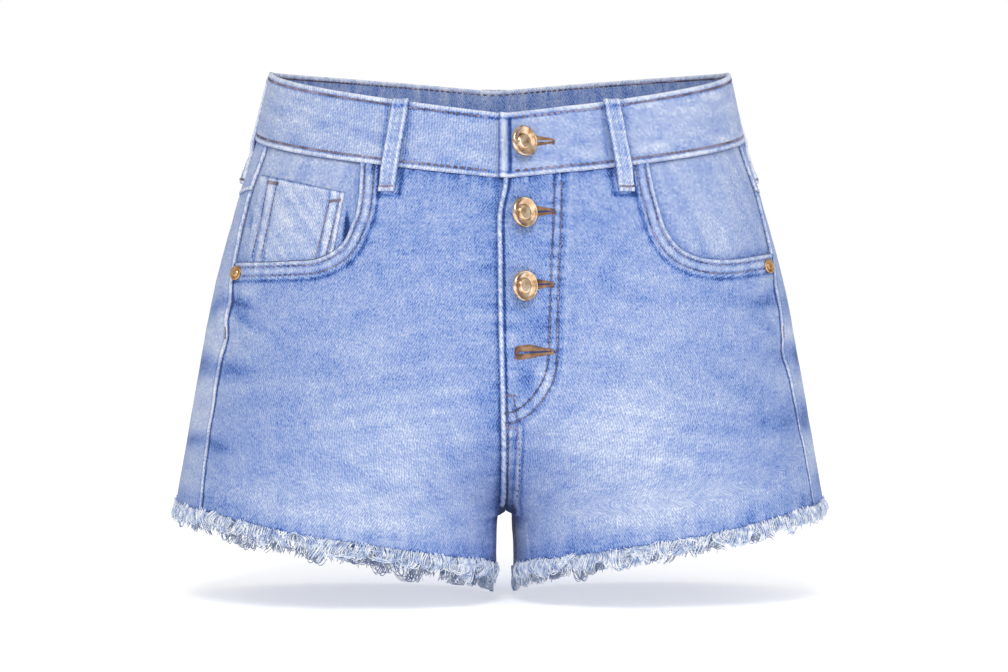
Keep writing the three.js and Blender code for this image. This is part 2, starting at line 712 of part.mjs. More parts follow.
for (const [word, side, seed] of [["right", RIGHT, 7], ["left", LEFT, 19]]) {
  addPiece(`front_${word}`, frontPanel(side), "panel");
  addPiece(`back_${word}`, backPanel(side), "panel");
  addPiece(`yoke_${word}`, yoke(side), "panel");
  addPiece(`back_pocket_${word}`, backPocket(side), "pocket");
  addPiece(`pocket_facing_${word}`, pocketFacing(side), "pocket");
  addPiece(`rivet_${word}`, rivet(side), "brass");
  addPiece(`hem_fringe_${word}`, hemFringe(side, seed), "fringe");
}
addPiece("coin_pocket", coinPocket(), "pocket");
addPiece("fly_shield", flyShield(), "panel");
addPiece("waistband", waistband(), "band");
LOOPS.forEach((loop) => addPiece(loop.name, beltLoop(loop), "loop"));

const bandOutside = WAISTBAND.proud + WAISTBAND.overLift;
const underEnd = WAISTBAND.proud + WAISTBAND.underSink;
BUTTON.levels.forEach((z, k) => {
  const solid = k === 0 ? button(z, bandOutside, underEnd) : button(z, LAP_LIFT, FLY.shieldLift);
  addPiece(`button_${k + 1}`, solid, "brass");
});

export default shorts;
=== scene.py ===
"""High-waisted denim shorts with a button fly and frayed hems, in a light stone wash, standing as when worn.

Sizes are in millimetres, and become metres where a mesh is made. +X is the wearer's left, the front faces -Y.
"""

import math

import bmesh
import bpy
import numpy as np
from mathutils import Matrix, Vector
from mathutils.bvhtree import BVHTree


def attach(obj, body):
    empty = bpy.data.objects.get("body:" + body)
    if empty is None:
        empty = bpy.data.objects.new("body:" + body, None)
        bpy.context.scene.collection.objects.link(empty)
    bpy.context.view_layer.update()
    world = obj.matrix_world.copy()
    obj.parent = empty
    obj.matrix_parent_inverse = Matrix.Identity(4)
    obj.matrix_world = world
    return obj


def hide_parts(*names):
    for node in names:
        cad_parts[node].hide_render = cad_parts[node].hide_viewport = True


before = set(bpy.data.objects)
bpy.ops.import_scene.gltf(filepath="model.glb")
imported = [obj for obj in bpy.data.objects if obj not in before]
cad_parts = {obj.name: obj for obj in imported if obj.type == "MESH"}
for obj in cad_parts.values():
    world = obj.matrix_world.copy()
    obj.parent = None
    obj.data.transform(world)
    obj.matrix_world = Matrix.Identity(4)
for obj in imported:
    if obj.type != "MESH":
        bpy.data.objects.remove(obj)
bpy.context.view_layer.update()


# The view
# A long lens at the height of the belly, looking a touch downwards. The shorts are turned a little to the
# wearer's left of it, so the camera stands that far round them.

VIEW_DISTANCE = 2400
VIEW_WIDTH = 604.8  # what the frame spans at the object
VIEW_TURN = math.radians(2.4)
VIEW_TILT = math.radians(2)
VIEW_CENTRE = (2.4, -138)
SENSOR = 36

away = VIEW_DISTANCE * math.cos(VIEW_TILT)
camera_data = bpy.data.cameras.new("camera")
camera_data.sensor_width = SENSOR
camera_data.lens = SENSOR * VIEW_DISTANCE / VIEW_WIDTH
camera_data.clip_end = 20
camera = bpy.data.objects.new("camera", camera_data)
bpy.context.scene.collection.objects.link(camera)
camera.location = (
    0.001 * (VIEW_CENTRE[0] * math.cos(VIEW_TURN) - away * math.sin(VIEW_TURN)),
    0.001 * (-VIEW_CENTRE[0] * math.sin(VIEW_TURN) - away * math.cos(VIEW_TURN)),
    0.001 * (VIEW_CENTRE[1] + VIEW_DISTANCE * math.sin(VIEW_TILT)),
)
camera.rotation_euler = (math.pi / 2 - VIEW_TILT, 0, -VIEW_TURN)
bpy.context.scene.camera = camera


# The body that the cloth stands round
# The form that the solids follow too: a rounded section at each level, parted into two legs at the crotch.
# Turns run from 0 at the side to half a turn at the inseam, above 0 on the front and below it on the back.

CROTCH_Z = -243
RISE_BEND_Z = -130
SECTION_POWER = 2.2
LEG_HALF_GAP = 7.2
LEG_GAP_SPREAD = 0.085
LEG_GAP_DEPTH = 0.9
LEG_GAP_REACH = 11
CENTRE_DRIFT = 3
SEAM_FORWARD = 4.2
SEAM_SWING = 3.2
LEFT = 1
RIGHT = -1
SIDES = ((RIGHT, "right"), (LEFT, "left"))
QUARTER = math.pi / 2
RADIAN_SPAN = 105  # how far a radian goes round the hips, about

BODY = {
    "z": (24, 0, -20, -60, -110, -160, -200, -240, -300),
    "half_width": (135.5, 140.5, 145, 157.5, 171, 180.5, 187.5, 194, 199),
    "front": (88, 93, 97, 104, 108, 107, 103, 98, 95),
    "back": (90, 94, 99, 110, 122, 124, 116, 104, 98),
    "seam_turn": (15, 15, 15, 13, 17, 20, 24, 28, 29),
}
HEM = {
    "share": (0, 0.06, 0.18, 0.3, 0.5, 0.7, 0.85, 1),
    "front": (-235, -235.2, -236.8, -241, -252.5, -263, -269, -276),
    "back": (-235, -236, -245.5, -258, -272.5, -280.5, -282, -276),
}
# Soft creases: side, turn in degrees, height, length, width, depth and slope.
FOLDS = [
    (RIGHT, 26, -118, 46, 9, 1.6, 0.35),
    (RIGHT, 22, -137, 52, 10, 1.8, 0.2),
    (RIGHT, 18, -176, 40, 9, 1.4, 0.1),
    (RIGHT, 150, -224, 44, 10, 1.3, 0.5),
    (LEFT, 24, -112, 48, 9, 1.6, 0.4),
    (LEFT, 20, -146, 56, 11, 1.8, 0.25),
    (LEFT, 17, -189, 42, 9, 1.4, 0.1),
    (LEFT, 148, -222, 44, 10, 1.3, 0.5),
    (RIGHT, -128, -212, 66, 12, 2.4, 0.3),
    (LEFT, -126, -215, 62, 12, 2.4, 0.3),
    (RIGHT, 74, -246, 60, 22, -1.6, 0),
    (LEFT, 112, -256, 60, 22, -1.6, 0),
]


def mix(a, b, share):
    return a + (b - a) * share


def ease(low, high, value):
    s = np.clip((value - low) / (high - low), 0, 1)
    return s * s * (3 - 2 * s)


def signed_power(value, exponent):
    return np.sign(value) * np.abs(value) ** exponent


def table_at(table, key, column, at):
    """A smooth curve through one column of a table, read where its key column has the given values."""
    keys, values = np.array(table[key], float), np.array(table[column], float)
    if keys[0] > keys[-1]:
        keys, values = keys[::-1], values[::-1]
    slopes = np.empty(len(values))
    slopes[1:-1] = (values[2:] - values[:-2]) / (keys[2:] - keys[:-2])
    slopes[0] = (values[1] - values[0]) / (keys[1] - keys[0])
    slopes[-1] = (values[-1] - values[-2]) / (keys[-1] - keys[-2])
    at = np.clip(at, keys[0], keys[-1])
    i = np.clip(np.searchsorted(keys, at, side="right") - 1, 0, len(keys) - 2)
    span = keys[i + 1] - keys[i]
    s = (at - keys[i]) / span
    return (
        (1 + 2 * s) * (1 - s) ** 2 * values[i]
        + s * (1 - s) ** 2 * span * slopes[i]
        + s * s * (3 - 2 * s) * values[i + 1]
        + s * s * (s - 1) * span * slopes[i + 1]
    )


def parted_at(z):
    return 1 - ease(CROTCH_Z, RISE_BEND_Z, z)


def centre_turn(z):
    """The turn at which a half reaches the centre seam, or the inseam below the crotch."""
    return math.pi - np.arccos(np.minimum(1, parted_at(z) ** (SECTION_POWER / 2)))


def section_at(z):
    half_width = table_at(BODY, "z", "half_width", z)
    radius = half_width / (1 + parted_at(z))
    return half_width, radius, half_width - radius


def centre_x(z):
    return CENTRE_DRIFT * ease(-90, CROTCH_Z, z)


def smooth_form(side, turn, z):
    """A point of the form without its creases. Past the centre seam it goes on along the other half."""
    end = centre_turn(z)
    past = (z > CROTCH_Z) & (np.abs(turn) > end)
    turn = np.where(past, np.sign(turn) * (2 * end - np.abs(turn)), turn)
    side = np.where(past, -side, side)
    half_width, radius, middle = section_at(z)
    depth = np.where(turn > 0, table_at(BODY, "z", "front", z), table_at(BODY, "z", "back", z))
    below = CROTCH_Z - z
    gap = (LEG_HALF_GAP + LEG_GAP_SPREAD * below) * np.clip(below / LEG_GAP_DEPTH, 0, 1) ** 0.5
    inside = gap * (np.abs(turn) / math.pi) ** LEG_GAP_REACH
    x = middle + inside + radius * signed_power(np.cos(turn), 2 / SECTION_POWER)
    y = -depth * signed_power(np.sin(turn), 2 / SECTION_POWER)
    return np.stack([side * x + centre_x(z) * (1 - x / half_width), y, z + 0 * x], -1)


def outwards(side, turn, z):
    """The form's outward direction, from short steps round it and up it."""
    step, rise = 0.004, 0.4
    round_it = smooth_form(side, turn + step, z) - smooth_form(side, turn - step, z)
    up = smooth_form(side, turn, z + rise) - smooth_form(side, turn, z - rise)
    normal = np.cross(round_it, up) * -np.reshape(side, np.shape(side) + (1,))
    length = np.linalg.norm(normal, axis=-1, keepdims=True)
    straight = np.stack([0 * turn, -np.sign(turn), 0 * turn], -1)
    return np.where(length > 1e-6, normal / np.maximum(length, 1e-9), straight)


def crease_at(side, turn, z):
    """How far the creases press the cloth in."""
    depth = 0 * z
    for on_side, fold_turn, level, length, width, deep, slope in FOLDS:
        along = (turn - math.radians(fold_turn)) * RADIAN_SPAN
        reach = np.hypot(along / (length / 2), (z - level + slope * along) / width)
        depth = depth + (side == on_side) * deep * np.exp(-2 * reach**2)
    return depth * ease(0.04, 0.3, centre_turn(z) - np.abs(turn))


def form_at(side, turn, z, lift):
    """A point of the cloth, moved out from the panels' outside by lift."""
    side, turn, z, lift = np.broadcast_arrays(side, turn, z, lift)
    away = lift - crease_at(side, turn, z)
    point = smooth_form(side, turn, z) + outwards(side, turn, z) * away[..., None]
    middle = centre_x(z)
    own_side = middle + side * np.maximum(side * (point[..., 0] - middle), 0.15)
    point[..., 0] = np.where(np.abs(turn) > centre_turn(z), point[..., 0], own_side)
    return point


def turn_across(across, z):
    """The turn of the front at a distance from the centre seam, which is below 0 past the seam."""
    _, radius, middle = section_at(z)
    v = np.clip((np.abs(across) - middle) / radius, -1, 1)
    turn = np.arccos(signed_power(v, SECTION_POWER / 2))
    return np.where(across < 0, 2 * centre_turn(z) - turn, turn)


def across_at(turn, z):
    _, radius, middle = section_at(z)
    return middle + radius * signed_power(np.cos(turn), 2 / SECTION_POWER)


def side_seam_turn(z, side):
    """The photo shows the wearer's right seam a little further forward than the left one."""
    turn = table_at(BODY, "z", "seam_turn", z)
    if side == RIGHT:
        return np.radians(turn + SEAM_FORWARD * (1 + ease(-130, -290, z)))
    return np.radians(turn + SEAM_SWING * np.exp(-(((z + 165) / 60) ** 2)))


# The denim
# Light-washed cotton twill: blue warp over white weft. The wash leaves it pale where it stood proud or was
# rubbed, and keeps the blue in hollows and beside seams. Each cloth vertex carries how faded it is, together
# with painted shade: dark lines in stitched grooves, and painted shadows under lips, edges, bands and belt
# loops.

# The darkest stop serves painted shade, such as the notch where the legs part and the shadows under edges.
DENIM_HEX = ("#22386F", "#3F62A6", "#6984BD", "#8698C4", "#A7B3CF", "#D4D9E5")
WASH_AND_SHADE_STOPS = (0, 0.18, 0.34, 0.52, 0.76, 1.05)
THREAD_PITCH = 1.3  # real twill lines are 0.6 mm apart, too fine to show, so they are drawn coarser
LAYER = 1.0  # one thickness of cloth
PATCH_SHIFT = 0.37


def linear(hex_colour):
    """An sRGB hex colour as linear RGBA."""
    channels = [int(hex_colour[i : i + 2], 16) / 255 for i in (1, 3, 5)]
    return [c / 12.92 if c <= 0.04045 else ((c + 0.055) / 1.055) ** 2.4 for c in channels] + [1]


def add_node(tree, kind, inputs=None, **settings):
    """Adds a shader node, sets its properties and fills its sockets with values or links."""
    made = tree.nodes.new(kind)
    for name, value in settings.items():
        setattr(made, name, value)
    for socket, value in (inputs or {}).items():
        if isinstance(value, bpy.types.NodeSocket):
            tree.links.new(value, made.inputs[socket])
        else:
            made.inputs[socket].default_value = value
    return made


def new_material(name, roughness, metallic=0.0):
    """A material with its Principled shader, whose uniform values are set on its own sockets."""
    material = bpy.data.materials.new(name)
    material.use_nodes = True
    shader = material.node_tree.nodes["Principled BSDF"]
    shader.inputs["Roughness"].default_value = roughness
    shader.inputs["Metallic"].default_value = metallic
    return material, material.node_tree, shader


def ramp(tree, factor, colours, places=None):
    """A colour ramp through sRGB hex colours."""
    made = add_node(tree, "ShaderNodeValToRGB", {"Fac": factor})
    steps = made.color_ramp.elements
    places = places or [k / (len(colours) - 1) for k in range(len(colours))]
    while len(steps) < len(colours):
        steps.new(0.5)
    for element, place, colour in zip(steps, places, colours):
        element.position = min(place, 1)
        element.color = linear(colour)
    return made


def speckled(tree, shader, scale, colours, places, detail=2, shade=None):
    """Colours a plain finish by soft specks, which shade may darken or lighten from place to place."""
    place = add_node(tree, "ShaderNodeTexCoord").outputs["Object"]
    specks = add_node(tree, "ShaderNodeTexNoise", {"Vector": place, "Scale": scale, "Detail": detail})
    tone = specks.outputs["Fac"]
    if shade:
        tone = add_node(tree, "ShaderNodeMath", {0: tone, 1: shade(place)}, operation="ADD").outputs[0]
    tree.links.new(ramp(tree, tone, colours, places).outputs["Color"], shader.inputs["Base Color"])
    return tone


def denim_material(name, patch, colours=DENIM_HEX, contrast=1.0):
    """Washed denim twill. Each patch of cloth reads another part of the pattern."""
    material, tree, shader = new_material(name, 0.88)
    shader.inputs["Sheen Weight"].default_value = 0.12
    shader.inputs["Sheen Roughness"].default_value = 0.5
    shader.inputs["Specular IOR Level"].default_value = 0.25
    uv = add_node(tree, "ShaderNodeTexCoord").outputs["UV"]
    moved = add_node(tree, "ShaderNodeMapping", {"Vector": uv, "Location": (patch * PATCH_SHIFT, patch, 0)})
    place = moved.outputs["Vector"]

    def grain(wide, tall, detail=2.0, roughness=0.6):
        scale = (1000 / wide, 1000 / tall, 1)
        stretched = add_node(tree, "ShaderNodeMapping", {"Vector": place, "Scale": scale})
        sockets = {"Vector": stretched.outputs["Vector"], "Scale": 1}
        sockets.update({"Detail": detail, "Roughness": roughness})
        return add_node(tree, "ShaderNodeTexNoise", sockets).outputs["Fac"]

    turned = add_node(tree, "ShaderNodeMapping", {"Vector": place, "Rotation": (0, 0, math.radians(-32))})
    wave = {"Vector": turned.outputs["Vector"], "Scale": 314 / THREAD_PITCH, "Distortion": 5, "Detail": 2}
    wave.update({"Detail Scale": 0.9, "Detail Roughness": 0.6})
    twill = add_node(tree, "ShaderNodeTexWave", wave, bands_direction="X").outputs["Fac"]
    # The vertex value holds the wash's fading and also painted shade.
    wash_and_shade = add_node(tree, "ShaderNodeAttribute", attribute_name="wash_and_shade").outputs["Fac"]
    marks = [
        (twill, 0.2 * contrast),
        (grain(1.1, 1.6, 3, 0.7), 1.25 * contrast),  # specks where the white weft shows
        (grain(0.9, 9), 0.45 * contrast),  # uneven warp threads
        (grain(6, 4, 3, 0.7), 0.42),  # mottling of the wash
        (grain(34, 16, 3, 0.6), 0.42),
    ]
    value = wash_and_shade
    for source, share in marks:
        centred = add_node(tree, "ShaderNodeMath", {0: source, 1: 0.5}, operation="SUBTRACT")
        scaled = {0: centred.outputs[0], 1: share, 2: value}
        value = add_node(tree, "ShaderNodeMath", scaled, operation="MULTIPLY_ADD").outputs[0]
    colour = ramp(tree, value, colours, WASH_AND_SHADE_STOPS)
    tree.links.new(colour.outputs["Color"], shader.inputs["Base Color"])
    relief = add_node(tree, "ShaderNodeMath", {0: twill, 1: 0.5, 2: marks[1][0]}, operation="MULTIPLY_ADD")
    bump = {"Height": relief.outputs[0], "Strength": 0.35, "Distance": 0.0005}
    bump = add_node(tree, "ShaderNodeBump", bump)
    tree.links.new(bump.outputs["Normal"], shader.inputs["Normal"])
    return material


# The reverse of the cloth, where the white weft lies over the blue warp.
REVERSE_HEX = ("#566A98", "#6E80A8", "#8F9EC0", "#A8B4CE", "#BFC8DA", "#D8DDE6")
denim_reverse = denim_material("denim_reverse", 9, REVERSE_HEX, 0.8)


def ripple(along, wave, seed):
    """Uneven waves of about that length, from -1 to 1."""
    rng = np.random.default_rng(seed)
    total = 0 * along
    for part in (0.62, 0.83, 1.0, 1.31, 1.9):
        total = total + np.sin(2 * math.pi * along / (wave * part) + rng.uniform(0, 2 * math.pi)) * 0.45
    return np.tanh(total)


def spot(x, z, cx, cz, wide, tall, tilt=0.0):
    """A soft patch, 1 in its middle."""
    dx, dz = x - cx, z - cz - tilt * (x - cx)
    return np.exp(-((dx / wide) ** 2) - (dz / tall) ** 2)


def near_line(points, x, z):
    """How far places are from a line in x and z, above 0 on its left, how far along, and the point there."""
    best = np.full(np.shape(x), 1e9)
    signed, along, near_x, near_z = (np.zeros(np.shape(x)) for _ in range(4))
    gone = 0.0
    for (ax, az), (bx, bz) in zip(points[:-1], points[1:]):
        length = math.hypot(bx - ax, bz - az)
        share = np.clip(((x - ax) * (bx - ax) + (z - az) * (bz - az)) / length**2, 0, 1)
        px, pz = ax + share * (bx - ax), az + share * (bz - az)
        d = np.hypot(x - px, z - pz)
        closer = d < best
        left = (bx - ax) * (z - az) - (bz - az) * (x - ax)
        best = np.where(closer, d, best)
        signed = np.where(closer, np.where(left >= 0, d, -d), signed)
        along = np.where(closer, gone + share * length, along)
        near_x, near_z = np.where(closer, px, near_x), np.where(closer, pz, near_z)
        gone += length
    return signed, along, near_x, near_z


def cloth_piece(name, columns, rows, shape_it, patch, thickness=LAYER, reverse=True, upright=True):
    """A sheet laid on the form from a grid. shape_it takes each vertex's shares across and down, and gives
    its side, turn, z, lift, its wash with painted shade, and where there is no cloth."""
    bpy.ops.object.select_all(action="DESELECT")
    bpy.ops.mesh.primitive_grid_add(x_subdivisions=columns, y_subdivisions=rows, size=2)
    piece = bpy.context.active_object
    piece.name = piece.data.name = f"cloth_{name}"
    mesh = piece.data
    flat = np.empty(len(mesh.vertices) * 3)
    mesh.vertices.foreach_get("co", flat)
    order = np.lexsort((flat[0::3], -flat[1::3]))
    s, t = np.meshgrid(np.linspace(0, 1, columns + 1), np.linspace(0, 1, rows + 1))
    side, turn, z, lift, wash_and_shade, cut = shape_it(s, t)
    points = 0.001 * form_at(side, turn, z, lift)
    laid = np.broadcast_arrays(side, turn, z)
    smooth = 0.001 * smooth_form(*laid)
    step = np.linalg.norm(np.diff(smooth[..., :2], axis=1), axis=-1)
    u = np.concatenate([np.zeros((rows + 1, 1)), np.cumsum(step, axis=1)], axis=1)
    u = u - u[:, columns // 2, None]  # the grain runs straight down the piece's middle
    drop = np.linalg.norm(np.diff(points, axis=0), axis=-1)
    fallen = np.concatenate([np.zeros((1, columns + 1)), np.cumsum(drop, axis=0)], axis=0)
    v = smooth[..., 2] if upright else -fallen
    placed = np.empty((len(mesh.vertices), 3))
    placed[order] = points.reshape(-1, 3)
    mesh.vertices.foreach_set("co", placed.ravel())
    uv = np.empty((len(mesh.vertices), 2))
    uv[order] = np.stack([u, v], -1).reshape(-1, 2)
    corners = np.empty(len(mesh.loops), int)
    mesh.loops.foreach_get("vertex_index", corners)
    mesh.uv_layers[0].data.foreach_set("uv", uv[corners].ravel())
    # Each vertex keeps its wash together with the painted shade laid into it.
    wash_and_shade_per_vertex = np.empty(len(mesh.vertices))
    wash_and_shade_per_vertex[order] = np.broadcast_to(wash_and_shade, s.shape).ravel()
    mesh.attributes.new("wash_and_shade", "FLOAT", "POINT").data.foreach_set("value", wash_and_shade_per_vertex.astype(np.float32))
    gone = np.zeros(len(mesh.vertices), bool)
    gone[order] = np.broadcast_to(cut, s.shape).ravel()
    work = bmesh.new()
    work.from_mesh(mesh)
    work.verts.ensure_lookup_table()
    lost = [f for f in work.faces if all(gone[v.index] for v in f.verts)]
    bmesh.ops.delete(work, geom=lost, context="FACES")
    lookup = np.empty((len(mesh.vertices), 3))
    lookup[order] = outwards(*laid).reshape(-1, 3)
    agree = sum(f.normal.dot(Vector(lookup[f.verts[0].index])) for f in work.faces)
    if agree < 0:
        bmesh.ops.reverse_faces(work, faces=work.faces)
    work.to_mesh(mesh)
    work.free()
    mesh.materials.append(denim_material(f"denim_{name}", patch))
    if reverse:
        mesh.materials.append(denim_reverse)
    wall = piece.modifiers.new("thickness", "SOLIDIFY")
    wall.thickness = 0.001 * thickness
    wall.offset = -1
    wall.material_offset = 1 if reverse else 0
    bpy.ops.object.modifier_apply(modifier=wall.name)
    bpy.ops.object.shade_smooth()
    return piece


def dress(piece, slot, *nodes):
    """The piece rides on the one body and stands for its solids."""
    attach(piece, "root")
    if nodes:
        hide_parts(*nodes)
    return piece


# Front panels, with the fly and the pocket mouths
# Each front is one layer. The wearer's left one laps over the right one down the fly, where its free edge is
# rolled and stitched, and both are cut away at the pocket mouths, whose edge is turned to a raised lip.

FRONT_GRID = (205, 190)
ROWS_TO_CROTCH = 0.85
SEAM_GAP = 0.3
BAND_TOP = 20  # at the side seams
BAND_HEIGHT = 40
BAND_DIPS = {"top": (26.5, 9), "bottom": (23.5, 6)}  # at the centre front and the centre back
FLY_EDGE = {"z": (0, -46, -64, -90, -190, -243), "reach": (2.5, 2.8, 6.2, 6.2, 6.2, 5.5)}
FLY_WIDTH = 33
BUTTON_LEVELS = (-24, -64, -105.5)
HOLE_LEVELS = (*BUTTON_LEVELS, -144)
FLY_CURVE = (-158, -192)
FLY_SEAM_WIDTH = 8
FLY_RAMP = 10
LAP_END_Z = -236
LAP_LIFT = 1.8
MOUTHS = {
    RIGHT: (
        (84, 10), (84, -36), (85.8, -59.8), (89.2, -70.2), (95, -81.9), (107.7, -89.9), (125, -91.9),
        (156.5, -93.3), (215, -96),
    ),
    LEFT: (
        (80, 10), (82.7, -36), (88.5, -62.1), (93.1, -74.9), (100.4, -84), (112.4, -89.6), (130, -91.3),
        (156.4, -88.6), (215, -83),
    ),
}
LIP_WIDTH = 9.3
LIP_RISE = 0.8
SEAM_ROLL = 1.3
# The two rows of the fly's curved seam, as distances from the centre and heights.
J_OUTER = (
    (31.4, -38), (30.7, -65), (28.2, -125), (27.6, -144), (26, -157), (22.6, -164.8), (18.3, -171.4),
    (11.8, -178.4), (4.3, -182.8), (-4, -185),
)
J_INNER = (
    (27.2, -38), (26.4, -65), (23.6, -125), (22.8, -144), (20.6, -156), (15.4, -165.6), (10.4, -171.6),
    (4.3, -176), (-4, -178.6),
)
LOOP_FRONT_TURN = 66.2
LOOP_BELOW = 15
THIGH_FADES = ((66, -192, 44, 34, 0.22), (86, -128, 44, 24, 0.07), (90, -242, 70, 22, 0.2))
# Where the wash differs beside the side seams: how far in front of the seam, how high, its half width and
# half height, how much it fades and how it slopes.
PATCH_STRENGTH = 1.15
SEAM_PATCHES = {
    RIGHT: (
        (20, -117, 26, 2.6, -0.17, -0.1), (24, -126, 24, 3.4, -0.22, -0.24), (30, -156, 40, 4, -0.14, -0.05),
        (22, -200, 24, 5, -0.2, -0.1), (-28, -119, 30, 4.5, -0.26, 0.1), (-45, -154, 46, 8, -0.34, 0),
        (-50, -198, 44, 4, -0.32, 0.05), (-34, -138, 46, 8, 0.15, 0), (-42, -178, 50, 11, 0.16, 0),
        (20, -142, 30, 6, 0.1, 0),
    ),
    LEFT: (
        (26, -117, 30, 3, -0.2, 0), (20, -133, 26, 4, -0.16, 0.3), (36, -183, 40, 7, -0.14, 0),
        (-26, -117, 26, 8, -0.2, 0), (-45, -150, 40, 7, -0.34, 0), (-40, -184, 50, 9, -0.28, 0),
        (-50, -222, 40, 6, -0.2, 0), (-34, -136, 40, 5, 0.16, 0), (-44, -168, 40, 7, 0.16, 0),
        (-40, -206, 46, 9, 0.14, 0),
    ),
}


def band_edge(turn, which):
    share = np.maximum(0, 1 - np.abs(1 - np.abs(turn) / QUARTER))
    front, back = BAND_DIPS[which]
    height = BAND_TOP if which == "top" else BAND_TOP - BAND_HEIGHT
    return height - np.where(turn > 0, front * share**1.12, back * share**2.6)


def hem_at(turn):
    share = np.abs(turn) / math.pi
    return np.where(turn > 0, table_at(HEM, "share", "front", share), table_at(HEM, "share", "back", share))


def seam_shift(z):
    return SEAM_GAP / 2 / table_at(BODY, "z", "front", z)


def row_height(share, t, top, hem, leg_rise):
    """Rows run from the top edge through the crotch to the hem."""
    crotch_row = CROTCH_Z + leg_rise * share**3
    below = np.clip((t - ROWS_TO_CROTCH) / (1 - ROWS_TO_CROTCH), 0, 1)
    down = np.clip(t / ROWS_TO_CROTCH, 0, 1)
    return np.where(t <= ROWS_TO_CROTCH, mix(top, crotch_row, down), mix(crotch_row, hem, below**1.3))


def lap_width(z):
    down = np.clip((FLY_CURVE[0] - z) / (FLY_CURVE[0] - FLY_CURVE[1]), 0, 1)
    return np.maximum(FLY_SEAM_WIDTH, FLY_WIDTH * np.sqrt(1 - down**2))


def lap_rise(across, z):
    width = lap_width(z)
    lap = 1 - ease(width, width + FLY_RAMP, across)
    return LAP_LIFT * lap * ease(CROTCH_Z + 1, LAP_END_Z + 4, z)


def smooth_line(points, step=1.5):
    """The points joined by a smooth curve, as evenly set points."""
    p = np.array(points, float)
    p = np.vstack([2 * p[0] - p[1], p, 2 * p[-1] - p[-2]])
    out = []
    for a, b, c, d in zip(p, p[1:], p[2:], p[3:]):
        u = np.linspace(0, 1, max(2, int(np.linalg.norm(c - b) / step)), endpoint=False)[:, None]
        curve = 2 * b + (c - a) * u + (2 * a - 5 * b + 4 * c - d) * u**2 + (3 * b - a - 3 * c + d) * u**3
        out.append(0.5 * curve)
    return np.vstack([*out, p[-2:-1]])


def moved_line(points, aside):
    """A line moved to its left by aside."""
    p = np.array(points, float)
    along = np.gradient(p, axis=0)
    along /= np.linalg.norm(along, axis=1, keepdims=True)
    return p + aside * np.stack([-along[:, 1], along[:, 0]], 1)


def ridge(distance, at, width):
    """A soft line, 1 along its middle."""
    return np.exp(-(((distance - at) / width) ** 2))


mouth_lines = {side: smooth_line(points, 3) for side, points in MOUTHS.items()}
j_outer = smooth_line(J_OUTER)
j_inner = smooth_line(J_INNER)


def seam_arc(side, turn, z):
    """How far in front of the side seam."""
    return (turn - side_seam_turn(z, side)) * table_at(BODY, "z", "half_width", z)


def seam_wash(side, arc, z):
    total = 0
    for at, level, wide, tall, depth, tilt in SEAM_PATCHES[side]:
        total = total + depth * spot(arc, z, at, level, wide, tall, tilt)
    return PATCH_STRENGTH * total


def wash(across, z, side):
    """How the wash has faded the front: pale thighs with soft whiskers, blue beside the seams and the hem."""
    wash_and_shade = 0.48 + (-0.01 if side == LEFT else 0.09) * spot(across, z, 80, -256, 60, 26)
    if side == RIGHT:
        wash_and_shade = wash_and_shade + 0.1 * spot(across, z, 132, -230, 26, 14)
    for cx, cz, wide, tall, depth in THIGH_FADES:
        wash_and_shade = wash_and_shade + depth * (1.2 if side == LEFT else 0.8) * spot(across, z, cx, cz, wide, tall)
    streaks = ripple(z + 0.13 * across, 15, 57 + side) * spot(across, z, 74, -186, 66, 52)
    return wash_and_shade + 0.07 * streaks - 0.05 * spot(across, z, 8, -235, 26, 40)


def loop_shadow(turn, z):
    """1 just beside a front belt loop and under its end: the painted shadow that the loop casts."""
    middle = math.radians(LOOP_FRONT_TURN)
    aside = np.abs(turn - middle) * table_at(BODY, "z", "half_width", z)
    below = z - (band_edge(middle, "bottom") - LOOP_BELOW)
    return ridge(aside, 7.0, 1.5) * ease(-3, -0.5, below) + ridge(below, -1.8, 1.2) * (aside < 7)


def weave_at(across, z, seed):
    """Slow unevenness of a whole panel."""
    return 0.2 * ripple(across + 0.4 * z, 31, seed) * ripple(z - 0.3 * across, 27, seed + 2)


